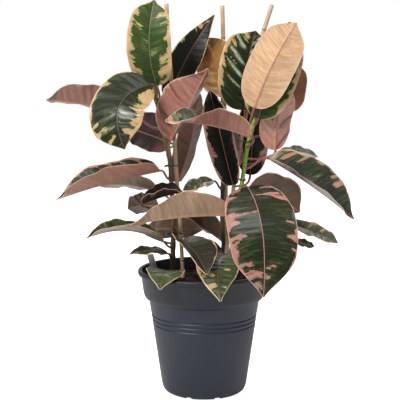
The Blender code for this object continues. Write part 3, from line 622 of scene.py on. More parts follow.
# Bud sheaths. The rosy sheath that wraps each growing tip: a slim cone rolled round the next leaf, with
# an overlap that winds up it, greener towards its point.
BUD_LENGTHS = {"left": 26, "back": 20, "right": 16}
BUD_GAP = 0.4
bud_skin, tree, shader, place = skin("rosy_bud_sheath", 0.32, coat=0.35, coat_roughness=0.2)
blush = speckle(tree, place, 120.0, 3.0)
tip_share = add(tree, "ShaderNodeAttribute", attribute_name="rise").outputs["Fac"]
colour = mixed(tree, blush, (0.50, 0.085, 0.06), (0.62, 0.17, 0.11))
colour = mixed(tree, eased(tree, tip_share, 0.75, 1.0), colour, (0.42, 0.34, 0.12))
feed(tree, shader, colour, None, blush, 0.15, 0.0003)
for name, length in BUD_LENGTHS.items():
    route = stem_routes[name]
    rise = (route[-1] - route[-2]).normalized()
    side = rise.orthogonal().normalized()
    other = rise.cross(side)
    start = route[-1] + rise * BUD_GAP
    radius = STEM_RADII[name][1]
    shape = bmesh.new()

    def bud_point(column, row):
        share = row / 30
        angle = math.tau * column / 24
        swell = (1 - share) ** 0.62 * (1 + 0.55 * share) * (0.96 + 0.2 * math.sin(math.pi * min(1, share * 2)))
        wind = (angle / math.tau + share * 1.4) % 1.0
        lap = 0.14 * (1 - wind) * (1 - share)
        reach = max(radius * (swell + lap), 0.25)
        return start + rise * length * share + (side * math.cos(angle) + other * math.sin(angle)) * reach

    wrapped(shape, 24, 30, bud_point)
    mark = shape.verts.layers.float.new("rise")
    for vertex in shape.verts:
        vertex[mark] = (vertex.co / MM - start).dot(rise) / length
    finished(f"bud_sheath_{name}_rosy", shape, [bud_skin], "bud_skin", f"bud_sheath_{name}")


# Twist ties. Wire in a dark green plastic coat, passed once round stem and stake and twisted shut in front,
# with both short ends left standing.
TIES = (
    ("left_upper", "left", 412, -70),
    ("left_lower", "left", 288, -60),
    ("right_upper", "right", 455, -60),
    ("right_lower", "right", 386, -65),
    ("back_upper", "back", 384, -80),
)
TIE_WIRE_RADIUS = 0.9
TIE_REACH = 1.8
TIE_OPENING = 8
TIE_PITCH = 1.5
TIE_TAILS = ((9, -1.0), (7, 2.5))
TIE_STEPS = 44
tie_coat, tree, shader, place = skin("tie_coat", 0.35, coat=0.2, coat_roughness=0.2)
rub = speckle(tree, place, 400.0, 3.0)
feed(tree, shader, mixed(tree, rub, (0.006, 0.014, 0.010), (0.018, 0.035, 0.025)), None, rub, 0.2, 0.0002)
stake_routes = {name: smooth_route(points, STAKE_STATIONS) for name, points in STAKE_ROUTES.items()}
for name, stem, height, tail_angle in TIES:
    stem_place, stem_rise, share = at_height(stem_routes[stem], height)
    stake_place, stake_rise, _ = at_height(stake_routes[stem], height)
    across = (stake_place - stem_place).normalized()
    up = (stem_rise + stake_rise).normalized()
    front = across.cross(up).normalized()
    if front.y > 0:
        front = -front
    first = math.radians(tail_angle)
    outward = (across * math.sin(first) + front * math.cos(first)).normalized()
    side = up.cross(outward).normalized()
    opening = math.radians(TIE_OPENING)
    loop = []
    for step in range(TIE_STEPS + 1):
        angle = first + opening + (math.tau - 2 * opening) * step / TIE_STEPS
        way = front * math.cos(angle) + across * math.sin(angle)
        blend = 0.5 + 0.5 * math.tanh(way.dot(across) * 5)
        centre = stem_place.lerp(stake_place, blend)
        stem_reach = stem_radius(stem, share) * 1.12 + TIE_REACH
        stake_reach = STAKE_RADIUS * 1.25 + TIE_REACH
        reach = stem_reach + (stake_reach - stem_reach) * blend
        loop.append(centre + way * reach + up * TIE_PITCH * (step / TIE_STEPS - 0.5))
    tails = []
    for (length, rise), start, turn in zip(TIE_TAILS, (loop[0], loop[-1]), (0.0, math.pi)):
        tail = []
        for step in range(1, 15):
            part = step / 14
            twist = turn + part * math.tau * 1.5
            wind = (side * math.cos(twist) + up * math.sin(twist)) * 0.95 * min(1, 3 * part) * (1 - 0.3 * part)
            settled = start.lerp((loop[0] + loop[-1]) / 2, min(1, 3 * part))
            tail.append(settled + outward * length * part + up * rise * part**2 + wind)
        tails.append(tail)
    wire = tails[0][::-1] + loop + tails[1]
    frames = []
    lift = up
    for index, here in enumerate(wire):
        along = (wire[min(index + 1, len(wire) - 1)] - wire[max(index - 1, 0)]).normalized()
        lift = (lift - along * lift.dot(along)).normalized()
        frames.append((here, lift, lift.cross(along)))
    shape = bmesh.new()

    def wire_point(column, row):
        here, lift, other = frames[row]
        angle = math.tau * column / 12
        return here + (lift * math.cos(angle) + other * math.sin(angle)) * TIE_WIRE_RADIUS

    wrapped(shape, 12, len(frames) - 1, wire_point)
    finished(f"tie_{name}_wire", shape, [tie_coat], "tie_plastic", f"tie_{name}")


# Leaf skins. The upper skin is thick wax over green tissue: dark and grey green in strokes that follow the
# side veins, cream or pink towards the edge, a fine pale line round the margin and a rosy midrib; its strongest
# grey strokes turn pale, as painted highlight streaks. The lower skin is duller, rose brown to tan, and shows
# the same side veins as fine lines.
LEAF_ROWS = 104
STALK_ROWS = 12
STALK_RADIUS = 2.1
HALF_STEPS = (0, 0.014, 0.034, 0.06, 0.1, 0.16, 0.24, 0.33, 0.43, 0.53, 0.63, 0.73, 0.82, 0.89, 0.945, 0.98, 1.0)
BLADE_THICKNESS = 0.9
TIP_HALF_WIDTH = 0.7
OVAL_POWER = 2.2
WIDEST = 0.95
BLUNTNESS = 8
TIP_REACH = 1.5
TIP_CURVE = 1.8
TIP_POWER = 0.85
WAVE_HEIGHT = 2.0
WAVE_COUNT = 2.3
VEIN_SPACING = 0.62

vein_field = bpy.data.node_groups.new("vein_field", "ShaderNodeTree")
vein_field.interface.new_socket("Blade", in_out="INPUT", socket_type="NodeSocketVector")
vein_field.interface.new_socket("Mark", in_out="INPUT", socket_type="NodeSocketFloat")
for output in ("Strokes", "Fine", "Veins", "Quilt", "Mottle"):
    vein_field.interface.new_socket(output, in_out="OUTPUT", socket_type="NodeSocketFloat")
entry = vein_field.nodes.new("NodeGroupInput")
across, slanted, _ = add(vein_field, "ShaderNodeSeparateXYZ", {"Vector": entry.outputs["Blade"]}).outputs
away = sum_of(vein_field, "ABSOLUTE", across)
half = sum_of(vein_field, "MULTIPLY", sum_of(vein_field, "SIGN", across), 7.3)
key = sum_of(vein_field, "ADD", half, entry.outputs["Mark"])


def vein_noise(step, reach, detail, roughness):
    """Cloud drawn out along the side veins."""
    inputs = {
        "X": sum_of(vein_field, "MULTIPLY", slanted, step),
        "Y": sum_of(vein_field, "MULTIPLY", away, reach),
        "Z": key,
    }
    place = add(vein_field, "ShaderNodeCombineXYZ", inputs).outputs[0]
    return speckle(vein_field, place, 1.0, detail, roughness)


strokes = vein_noise(1.7, 0.32, 4.0, 0.62)
fine = vein_noise(5.5, 1.1, 3.0, 0.6)
mottle = vein_noise(1.6, 1.6, 4.0, 0.6)
wander = sum_of(vein_field, "MULTIPLY", strokes, 0.7)
steps = sum_of(vein_field, "ADD", sum_of(vein_field, "DIVIDE", slanted, VEIN_SPACING), wander)
swing = sum_of(vein_field, "ABSOLUTE", sum_of(vein_field, "SUBTRACT", sum_of(vein_field, "FRACT", steps), 0.5))
quilt = sum_of(vein_field, "SUBTRACT", 1.0, sum_of(vein_field, "MULTIPLY", swing, 2.0))
veins = eased(vein_field, swing, 0.42, 0.49)
leaving = vein_field.nodes.new("NodeGroupOutput")
for output, value in (
    ("Strokes", strokes), ("Fine", fine), ("Veins", veins), ("Quilt", quilt), ("Mottle", mottle),
):
    vein_field.links.new(value, leaving.inputs[output])


def read_blade(tree):
    """The values that each leaf carries: its blade's measures, its paint and its vein field."""
    blade = add(tree, "ShaderNodeAttribute", attribute_name="blade").outputs["Vector"]
    paint = add(tree, "ShaderNodeAttribute", attribute_name="paint").outputs["Vector"]
    mark = add(tree, "ShaderNodeAttribute", attribute_name="mark").outputs["Fac"]
    field = add(tree, "ShaderNodeGroup", node_tree=vein_field)
    tree.links.new(blade, field.inputs["Blade"])
    tree.links.new(mark, field.inputs["Mark"])
    return blade, paint, field


def centred(tree, value, gain):
    """A cloud's value about its middle, with a gain."""
    return sum_of(tree, "MULTIPLY", sum_of(tree, "SUBTRACT", value, 0.5), gain)


upper_skin, tree, shader, place = skin("waxy_upper_skin", 0.34, coat=0.14, coat_roughness=0.15, specular=0.32)
blade, paint, field = read_blade(tree)
across, slanted, edge = add(tree, "ShaderNodeSeparateXYZ", {"Vector": blade}).outputs
light, grey, pink = add(tree, "ShaderNodeSeparateXYZ", {"Vector": paint}).outputs
tint = add(tree, "ShaderNodeAttribute", attribute_name="upper_tint").outputs["Color"]
strokes = centred(tree, field.outputs["Strokes"], 1.9)
fringe = centred(tree, field.outputs["Fine"], 0.8)
paleness = sum_of(tree, "ADD", light, sum_of(tree, "ADD", strokes, fringe))
light_mask = eased(tree, paleness, 0.48, 0.53)
greyness = sum_of(tree, "ADD", grey, sum_of(tree, "SUBTRACT", fringe, strokes))
deep = mixed(
    tree, eased(tree, field.outputs["Fine"], 0.35, 0.7), tint, mixed(tree, 0.45, tint, (0.0, 0.0, 0.0))
)
lifted = mixed(tree, 0.07, tint, (0.40, 0.42, 0.20))
colour = mixed(tree, eased(tree, greyness, 0.4, 0.62), deep, lifted)
near_rib = eased(tree, sum_of(tree, "ABSOLUTE", across), 1.9, 0.2)
near_rib = sum_of(tree, "MULTIPLY", near_rib, eased(tree, field.outputs["Strokes"], 0.25, 0.6))
colour = mixed(
    tree, sum_of(tree, "MULTIPLY", near_rib, 0.55), colour, mixed(tree, 0.6, tint, (0.008, 0.009, 0.007))
)
grey_green = mixed(tree, field.outputs["Fine"], (0.13, 0.16, 0.085), (0.24, 0.25, 0.15))
colour = mixed(tree, eased(tree, greyness, 0.80, 0.90), colour, grey_green)
# Grey past full strength turns to a pale grey green: painted highlight streaks along the side veins.
colour = mixed(tree, eased(tree, greyness, 1.08, 1.3), colour, (0.44, 0.48, 0.40))
cream = mixed(tree, field.outputs["Mottle"], (0.50, 0.29, 0.13), (0.64, 0.42, 0.23))
rose = mixed(tree, field.outputs["Mottle"], (0.36, 0.155, 0.125), (0.58, 0.31, 0.25))
blushed = sum_of(tree, "ADD", pink, centred(tree, field.outputs["Mottle"], 0.5), clamp=True)
pale = mixed(tree, blushed, cream, rose)
turning = mixed(tree, pink, (0.27, 0.31, 0.075), (0.30, 0.16, 0.12))
unripe = sum_of(tree, "SUBTRACT", 1.0, eased(tree, paleness, 0.56, 0.86))
pale = mixed(tree, sum_of(tree, "MULTIPLY", unripe, 0.6), pale, turning)
colour = mixed(tree, light_mask, colour, pale)
vein_tone = mixed(tree, 0.5, colour, (0.40, 0.42, 0.28))
colour = mixed(tree, sum_of(tree, "MULTIPLY", field.outputs["Veins"], 0.10), colour, vein_tone)
rib_mask = eased(tree, sum_of(tree, "ABSOLUTE", across), 0.095, 0.035)
stalk_tint = add(tree, "ShaderNodeAttribute", attribute_name="stalk_tint").outputs["Color"]
rib = mixed(tree, pink, stalk_tint, (0.60, 0.27, 0.22))
colour = mixed(tree, sum_of(tree, "MULTIPLY", rib_mask, 0.8), colour, rib)
rim_mask = eased(tree, edge, 0.13, 0.05)
colour = mixed(tree, rim_mask, colour, mixed(tree, pink, (0.68, 0.49, 0.30), (0.72, 0.40, 0.33)))
gloss = add(tree, "ShaderNodeAttribute", attribute_name="gloss").outputs["Fac"]
tree.links.new(sum_of(tree, "MULTIPLY", gloss, 0.15), shader.inputs["Coat Weight"])
rough = sum_of(tree, "MULTIPLY_ADD", gloss, -0.16, 0.49)
rough = sum_of(tree, "ADD", rough, centred(tree, field.outputs["Mottle"], 0.22))
relief = sum_of(tree, "ADD", sum_of(tree, "MULTIPLY", field.outputs["Quilt"], 0.7), field.outputs["Strokes"])
feed(tree, shader, colour, rough, relief, 0.15, 0.0008)

lower_skin, tree, shader, place = skin("dull_lower_skin", 0.42, coat=0.12, coat_roughness=0.28)
blade, paint, field = read_blade(tree)
across, slanted, edge = add(tree, "ShaderNodeSeparateXYZ", {"Vector": blade}).outputs
light, grey, pink = add(tree, "ShaderNodeSeparateXYZ", {"Vector": paint}).outputs
tint = add(tree, "ShaderNodeAttribute", attribute_name="under_tint").outputs["Color"]
# A brighter and a shaded copy of the tint in streaks along the side veins: the underside's own mottling, pushed
# further as a painted sheen and shade.
bright = add(tree, "ShaderNodeVectorMath", {"Vector": tint, "Scale": 1.25}, operation="SCALE").outputs[0]
streaked = eased(tree, field.outputs["Strokes"], 0.3, 0.72)
shade = mixed(tree, 0.22, tint, (0.0, 0.0, 0.0))
colour = mixed(tree, streaked, shade, bright)
colour = mixed(
    tree, eased(tree, field.outputs["Fine"], 0.45, 0.75), colour, mixed(tree, 0.18, tint, (0.1, 0.03, 0.02))
)
shown = eased(tree, sum_of(tree, "ADD", light, centred(tree, field.outputs["Strokes"], 1.3)), 0.42, 0.58)
ghost = mixed(tree, pink, (0.72, 0.52, 0.32), (0.66, 0.34, 0.26))
colour = mixed(tree, sum_of(tree, "MULTIPLY", shown, 0.42), colour, ghost)
vein_tone = mixed(tree, 0.25, bright, (0.6, 0.33, 0.22))
colour = mixed(tree, sum_of(tree, "MULTIPLY", field.outputs["Veins"], 0.30), colour, vein_tone)
flush = sum_of(tree, "MULTIPLY", eased(tree, slanted, 3.2, -0.6), sum_of(tree, "MULTIPLY", pink, 0.55))
colour = mixed(tree, flush, colour, (0.72, 0.27, 0.19))
rib_mask = eased(tree, sum_of(tree, "ABSOLUTE", across), 0.20, 0.10)
colour = mixed(tree, sum_of(tree, "MULTIPLY", rib_mask, 0.6), colour, (0.55, 0.22, 0.15))
colour = mixed(
    tree, eased(tree, edge, 0.14, 0.06), colour, mixed(tree, pink, (0.80, 0.60, 0.38), (0.74, 0.36, 0.28))
)
# Grey darkens the underside in patches, the leaf's own dark mottling; on right_outer_middle its grey strokes paint
# shade.
dusk_cloud = sum_of(tree, "ADD", grey, centred(tree, field.outputs["Strokes"], 0.9))
dusk = sum_of(tree, "MULTIPLY", eased(tree, dusk_cloud, 0.72, 1.0), 0.75)
colour = mixed(tree, dusk, colour, mixed(tree, 0.75, tint, (0.012, 0.010, 0.004)))
relief = sum_of(tree, "MULTIPLY_ADD", field.outputs["Veins"], 0.7, field.outputs["Fine"])
gloss = add(tree, "ShaderNodeAttribute", attribute_name="gloss").outputs["Fac"]
tree.links.new(sum_of(tree, "MULTIPLY", gloss, 0.16), shader.inputs["Coat Weight"])
rough = sum_of(tree, "MULTIPLY_ADD", gloss, -0.10, 0.46)
rough = sum_of(tree, "ADD", rough, centred(tree, field.outputs["Mottle"], 0.2))
feed(tree, shader, colour, rough, relief, 0.25, 0.0006)

stalk_skin, tree, shader, place = skin("rosy_leaf_stalk", 0.36, coat=0.2, coat_roughness=0.25)
lines = speckle(tree, place, 380.0, 3.0)
tint = add(tree, "ShaderNodeAttribute", attribute_name="stalk_tint").outputs["Color"]
streaked = mixed(tree, lines, mixed(tree, 0.25, tint, (0.05, 0.02, 0.01)), tint)
feed(tree, shader, streaked, None, lines, 0.2, 0.0003)

DARK_GREEN = (0.016, 0.024, 0.006)
DEEP_GREEN = (0.006, 0.009, 0.0035)
MID_GREEN = (0.054, 0.086, 0.024)
FRESH_GREEN = (0.032, 0.070, 0.003)
GREY_GREEN = (0.060, 0.080, 0.045)
SLATE_GREEN = (0.042, 0.050, 0.032)
PALE_SLATE = (0.110, 0.125, 0.085)
ROSE = (0.34, 0.140, 0.098)
DARK_ROSE = (0.12, 0.050, 0.036)
PINK_ROSE = (0.52, 0.27, 0.20)
DUSTY_ROSE = (0.27, 0.125, 0.092)
# A dark plum of its own, darkened almost to black to paint the shade the left_shaded leaf hangs in.
PLUM_IN_PAINTED_SHADE = (0.030, 0.013, 0.011)
WARM_PINK = (0.44, 0.215, 0.155)
WARM_ROSE = (0.19, 0.10, 0.07)
DARK_TAUPE = (0.045, 0.030, 0.018)
# A dark brown red of its own, darkened further as painted shade for the right_outer_upper leaf.
RUST_RED_IN_PAINTED_SHADE = (0.17, 0.047, 0.013)
PEACH = (0.70, 0.43, 0.24)
TAN = (0.46, 0.30, 0.19)
TAUPE = (0.11, 0.072, 0.040)
GREY_TAN = (0.33, 0.25, 0.175)
DULL_TAN = (0.20, 0.140, 0.095)
OLIVE_BROWN = (0.030, 0.027, 0.014)
GOLD = (0.44, 0.225, 0.055)
PINK_STALK = (0.40, 0.13, 0.09)
GREEN_STALK = (0.22, 0.22, 0.06)
BROWN_STALK = (0.16, 0.075, 0.035)

# A grey stroke stronger than one paints pale highlight streaks on the upper skin.
# The painted look of each leaf: upper, under and stalk tints, how far the pale border reaches in to the
# left and the right of the midrib, how grey and how pink it is, and strokes that follow the veins. A stroke
# has a kind, its share along, where it starts and ends across (left is positive), its width and strength.
# Traits: how far the side veins lean to the tip, how glossy the leaf is, and how high in mm it quilts.
VEIN_SLANT = 0.28
VEIN_CURVE = 0.04
QUILT_SPACING = 14
Trait = namedtuple("Trait", "slant gloss quilt")
PLAIN_TRAIT = Trait(VEIN_SLANT, 0.75, 0.28)
TRAITS = {
    "left_crown_upright": Trait(0.28, 0.0, 0.35),
    "left_crown_hanging": Trait(0.28, 0.65, 0.45),
    "left_far_upper": Trait(0.28, 1.3, 0.60),
    "left_crown_back": Trait(0.50, 0.15, 0.20),
    "centre_upright_front": Trait(0.28, 1.7, 0.80),
    "right_crown_splashed": Trait(0.70, 1.60, 0.60),
    "right_crown_peach": Trait(0.20, 0.7, 0.20),
    "right_outer_middle": Trait(0.80, 1.80, 0.75),
    "front_right_rim": Trait(0.35, 0.8, 0.90),
    "right_inner_dark": Trait(0.28, 0.5, 0.30),
    "centre_dark": Trait(0.28, 0.5, 0.30),
    "centre_crossing": Trait(0.28, 1.4, 0.60),
    "front_large": Trait(0.08, 1.15, 0.30),
    "right_long": Trait(0.35, 1.5, 0.40),
    "left_long": Trait(0.70, 0.35, 0.40),
    "front_left_rim": Trait(0.28, 1.2, 0.25),
    "front_folded": Trait(0.28, 0.4, 0.20),
}
Look = namedtuple("Look", "upper under stalk left right grey pink strokes")
LOOKS = {
    "left_crown_upright": Look(FRESH_GREEN, ROSE, GREEN_STALK, 0.34, 0.24, 0.34, 0.0, (
        ("pale", 0.67, 0.35, 1.0, 0.06, 0.62), ("pale", 0.76, 0.6, 1.0, 0.04, 0.7),
        ("pale", 0.30, 0.7, 1.0, 0.05, 0.8), ("pale", 0.16, 0.5, 1.0, 0.04, 0.75),
        ("pale", 0.04, 0.45, 1.0, 0.05, 0.85), ("pale", -0.08, 0.2, 1.0, 0.05, 0.85),
        ("pale", 0.80, -0.3, -1.0, 0.03, 0.85), ("pale", 0.70, -0.5, -1.0, 0.025, 0.75),
        ("pale", 0.50, -0.7, -1.0, 0.03, 0.7), ("pale", 0.27, -0.5, -1.0, 0.05, 0.9),
        ("pale", 0.12, -0.35, -1.0, 0.06, 0.9), ("pale", 0.0, -0.3, -1.0, 0.04, 0.8),
        ("grey", 0.52, 0.02, 0.35, 0.12, 0.72), ("grey", 0.40, -0.02, -0.35, 0.10, 0.72))),
    "left_crown_hanging": Look(DARK_GREEN, ROSE, BROWN_STALK, 0.40, 0.10, 0.30, 0.05, (
        ("pale", 0.20, -0.8, -1.0, 0.03, 0.9), ("pale", 0.72, -0.4, -1.0, 0.025, 0.8),
        ("pale", 0.84, -0.2, -1.0, 0.03, 0.7), ("pale", 0.62, -0.7, -1.0, 0.02, 0.7),
        ("pale", 0.10, 0.35, 1.0, 0.10, 1.0), ("pale", 0.28, 0.6, 1.0, 0.06, 0.9),
        ("pale", 0.66, 0.55, 1.0, 0.05, 0.85), ("pale", 0.80, 0.2, 1.0, 0.03, 0.8),
        ("grey", 0.56, 0.04, 0.7, 0.06, 1.0), ("grey", 0.70, 0.04, 0.6, 0.03, 0.9),
        ("grey", 0.58, -0.04, -0.5, 0.045, 1.0), ("grey", 0.74, -0.04, -0.6, 0.03, 0.9),
        ("grey", 0.34, 0.45, 0.8, 0.06, 0.9))),
    "left_far_upper": Look(DARK_GREEN, DUSTY_ROSE, PINK_STALK, 0.12, 0.12, 0.3, 0.5, ()),
    "left_shaded": Look(DEEP_GREEN, PLUM_IN_PAINTED_SHADE, BROWN_STALK, 0.08, 0.08, 0.2, 0.7, ()),
    "left_crown_back": Look(DEEP_GREEN, ROSE, BROWN_STALK, 0.07, 0.10, 0.05, 0.15, (
        ("pale", 0.80, 0.35, 1.0, 0.05, 0.9), ("pale", 0.90, 0.1, 0.7, 0.03, 0.75),
        ("pale", 0.55, 0.8, 1.0, 0.03, 0.7))),
    "centre_upright_front": Look(DARK_GREEN, ROSE, PINK_STALK, 0.16, 0.16, 0.42, 0.4, (
        ("grey", 0.05, 0.2, 1.0, 0.06, 1.1), ("grey", 0.35, 0.3, 1.0, 0.04, 1.1),
        ("grey", 0.15, -0.2, -1.0, 0.05, 1.1), ("grey", 0.45, -0.3, -1.0, 0.03, 1.0))),
    "centre_upright_back": Look(DEEP_GREEN, WARM_ROSE, BROWN_STALK, 0.08, 0.08, 0.2, 0.6, ()),
    "back_crown_olive": Look(DARK_GREEN, GOLD, GREEN_STALK, 0.10, 0.45, 0.3, 0.1, (
        ("grey", 0.80, 0.1, 1.0, 0.16, 1.0), ("grey", 0.75, -0.1, -1.0, 0.16, 1.0),
        ("pale", 0.30, -0.3, -1.0, 0.12, 0.9), ("grey", 0.40, 0.3, 1.0, 0.05, 1.0))),
    # Its strong grey strokes paint pale highlight streaks along the side veins.
    "right_crown_splashed": Look(DARK_GREEN, ROSE, BROWN_STALK, 0.20, 0.30, 0.30, 0.05, (
        ("pale", 0.86, 0.2, 1.0, 0.05, 0.95), ("pale", 0.62, 0.6, 1.0, 0.03, 0.85),
        ("grey", 0.72, 0.2, 0.9, 0.035, 1.25), ("grey", 0.54, 0.15, 0.8, 0.035, 1.25),
        ("grey", 0.38, 0.15, 0.8, 0.03, 1.25), ("grey", 0.22, 0.2, 0.7, 0.02, 1.1),
        ("pale", 0.44, 0.35, 0.7, 0.010, 0.8), ("pale", 0.80, -0.2, -1.0, 0.08, 0.9))),
    "right_crown_peach": Look(DARK_GREEN, PEACH, PINK_STALK, 0.25, 0.25, 0.3, 0.2, ()),
    "right_crown_inner": Look(FRESH_GREEN, PEACH, PINK_STALK, 0.22, 0.26, 0.05, 0.1, ()),
    "right_outer_upper": Look(DARK_GREEN, RUST_RED_IN_PAINTED_SHADE, BROWN_STALK, 0.05, 0.05, 0.2, 0.6, ()),
    # Its grey strokes darken the underside as painted shade and its pale strokes lay a painted sheen across it.
    "right_outer_middle": Look(DARK_GREEN, PINK_ROSE, PINK_STALK, 0.10, 0.10, 0.45, 0.9, (
        ("grey", 0.62, -0.1, -1.0, 0.12, 1.2), ("grey", 0.40, -0.2, -1.0, 0.05, 1.1),
        ("grey", 0.30, 0.2, 1.0, 0.05, 1.2), ("grey", 0.02, 0.1, 1.0, 0.04, 1.1),
        ("pale", 0.16, 0.1, 0.8, 0.05, 0.9), ("pale", 0.20, -0.1, -0.8, 0.05, 0.9),
        ("pale", 0.46, 0.1, 1.0, 0.05, 0.9))),
    "right_inner_dark": Look(DEEP_GREEN, DARK_ROSE, PINK_STALK, 0.10, 0.24, 0.1, 1.0, (
        ("pale", 0.22, -0.5, -1.0, 0.04, 0.85), ("pale", 0.42, -0.7, -1.0, 0.03, 0.8))),
    "centre_crossing": Look(GREY_GREEN, ROSE, PINK_STALK, 0.10, 0.10, 0.45, 0.35, (
        ("pale", 0.93, 0.05, 1.0, 0.06, 0.9), ("pale", 0.93, -0.05, -1.0, 0.06, 0.9),
        ("pale", 0.80, 0.3, 1.0, 0.03, 0.8), ("pale", 0.78, -0.3, -1.0, 0.03, 0.8),
        ("grey", 0.86, 0.05, 1.0, 0.03, 1.0), ("grey", 0.85, -0.05, -1.0, 0.03, 1.0))),
    "centre_dark": Look(DEEP_GREEN, DARK_ROSE, PINK_STALK, 0.26, 0.24, 0.1, 1.0, (
        ("pale", 0.3, 0.6, 1.0, 0.05, 0.8), ("pale", 0.6, 0.7, 1.0, 0.03, 0.8))),
    "centre_grey": Look(DARK_GREEN, GREY_TAN, BROWN_STALK, 0.1, 0.1, 0.3, 0.5, ()),
    # Its grey green is partly its own colour and partly a painted grey sheen.
    "right_long": Look(SLATE_GREEN, TAUPE, PINK_STALK, 0.12, 0.12, 0.42, 0.75, (
        ("pale", 0.00, 0.1, 1.0, 0.035, 0.85), ("pale", 0.10, 0.3, 1.0, 0.02, 0.8),
        ("pale", 0.20, 0.5, 1.0, 0.02, 0.8), ("grey", 0.05, 0.1, 0.8, 0.06, 0.95),
        ("pale", 0.52, 0.7, 1.0, 0.02, 0.9), ("pale", 0.60, 0.6, 1.0, 0.03, 0.9),
        ("pale", 0.76, 0.75, 1.0, 0.02, 0.8), ("grey", 0.45, 0.05, 0.6, 0.02, 0.8))),
    "right_small_back": Look(PALE_SLATE, TAUPE, BROWN_STALK, 0.08, 0.08, 0.5, 0.6, ()),
    "front_large": Look(DARK_GREEN, ROSE, PINK_STALK, 0.08, 0.20, 0.36, 1.0, (
        ("pale", 0.04, -0.6, -1.0, 0.02, 0.9), ("pale", 0.13, -0.7, -1.0, 0.02, 0.85),
        ("pale", 0.33, -0.02, -1.0, 0.014, 0.95), ("pale", 0.31, -0.6, -1.0, 0.025, 0.85),
        ("pale", 0.40, -0.65, -1.0, 0.018, 0.85), ("pale", 0.53, -0.5, -1.0, 0.02, 0.95),
        ("pale", 0.58, -0.75, -1.0, 0.02, 0.8), ("pale", 0.75, -0.3, -1.0, 0.018, 0.85),
        ("pale", 0.84, -0.1, -1.0, 0.03, 0.95), ("pale", 0.92, -0.2, -1.0, 0.03, 0.8),
        ("pale", 0.80, 0.05, 0.4, 0.016, 0.85), ("pale", 0.86, 0.05, 0.35, 0.02, 0.85),
        ("pale", 0.14, 0.1, 0.85, 0.014, 0.95), ("pale", 0.17, 0.6, 1.0, 0.018, 0.85),
        ("pale", 0.06, 0.5, 0.9, 0.010, 0.8), ("pale", 0.54, 0.78, 1.0, 0.03, 0.95),
        ("pale", 0.62, 0.85, 1.0, 0.02, 0.85), ("pale", 0.42, 0.75, 0.95, 0.010, 0.85),
        ("dark", 0.45, -0.1, -0.6, 0.03, 0.8))),
    "right_under": Look(DARK_GREEN, TAUPE, GREEN_STALK, 0.1, 0.1, 0.3, 0.3, ()),
    "right_lower": Look(PALE_SLATE, GREY_TAN, BROWN_STALK, 0.22, 0.22, 0.6, 0.2, (
        ("pale", 0.35, 0.1, 0.9, 0.03, 0.8), ("pale", 0.6, 0.3, 1.0, 0.03, 0.8))),
    "right_lower_small": Look(MID_GREEN, TAUPE, BROWN_STALK, 0.06, 0.06, 0.3, 0.2, ()),
    "left_long": Look(DARK_GREEN, WARM_PINK, PINK_STALK, 0.10, 0.16, 0.25, 0.5, (
        ("pale", 0.06, -0.4, -1.0, 0.02, 0.85), ("pale", 0.18, -0.2, -0.9, 0.010, 0.85),
        ("pale", 0.30, -0.3, -1.0, 0.010, 0.85), ("pale", 0.40, -0.1, -0.8, 0.008, 0.85),
        ("pale", 0.50, -0.4, -1.0, 0.010, 0.85), ("pale", 0.60, -0.1, -1.0, 0.010, 0.85),
        ("pale", 0.80, -0.5, -1.0, 0.04, 0.9))),
    "left_long_back": Look(DARK_GREEN, DULL_TAN, BROWN_STALK, 0.12, 0.12, 0.4, 0.4, ()),
    "centre_cream_edge": Look(DEEP_GREEN, DARK_TAUPE, BROWN_STALK, 0.08, 0.12, 0.25, 0.1, ()),
    "centre_small_splashed": Look(GREY_GREEN, TAN, BROWN_STALK, 0.26, 0.26, 0.6, 0.1, (
        ("pale", 0.3, 0.1, 1.0, 0.05, 0.9), ("pale", 0.6, 0.2, 1.0, 0.05, 0.9))),
    "centre_long_tan": Look(DARK_GREEN, TAN, PINK_STALK, 0.12, 0.12, 0.4, 0.5, ()),
    "left_round_back": Look(DARK_GREEN, TAUPE, BROWN_STALK, 0.12, 0.12, 0.4, 0.2, ()),
    "left_lower_arched": Look(DARK_GREEN, GREY_TAN, BROWN_STALK, 0.10, 0.10, 0.6, 0.15, ()),
    "left_lower_back": Look(DARK_GREEN, GREY_TAN, BROWN_STALK, 0.10, 0.10, 0.4, 0.2, ()),
    "back_lower_olive": Look(DARK_GREEN, TAUPE, BROWN_STALK, 0.10, 0.10, 0.3, 0.2, ()),
    "left_lower_twisted": Look(DARK_GREEN, GREY_TAN, BROWN_STALK, 0.10, 0.10, 0.5, 0.2, ()),
    "front_left_rim": Look(MID_GREEN, TAUPE, BROWN_STALK, 0.08, 0.08, 0.6, 0.1, ()),
    "front_right_rim": Look(MID_GREEN, TAUPE, BROWN_STALK, 0.08, 0.22, 0.3, 0.1, (
        ("pale", 0.42, -0.3, -1.0, 0.03, 0.9), ("pale", 0.60, -0.2, -0.9, 0.03, 0.9),
        ("pale", 0.76, -0.1, -1.0, 0.04, 0.8), ("pale", 0.5, 0.3, 0.6, 0.02, 0.8))),
    "front_folded": Look(OLIVE_BROWN, GREY_TAN, BROWN_STALK, 0.10, 0.10, 0.3, 0.2, ()),
    "front_striped": Look(DARK_GREEN, TAUPE, BROWN_STALK, 0.16, 0.16, 0.7, 0.2, (
        ("pale", 0.4, 0.1, 1.0, 0.05, 0.7), ("pale", 0.6, -0.1, -1.0, 0.04, 0.8))),
}


def facing_vector(faces):
    """The unit vector of a (turn from the front, rise) pair in degrees."""
    turn, rise = (math.radians(value) for value in faces)
    return Vector((math.sin(turn) * math.cos(rise), -math.cos(turn) * math.cos(rise), math.sin(rise)))


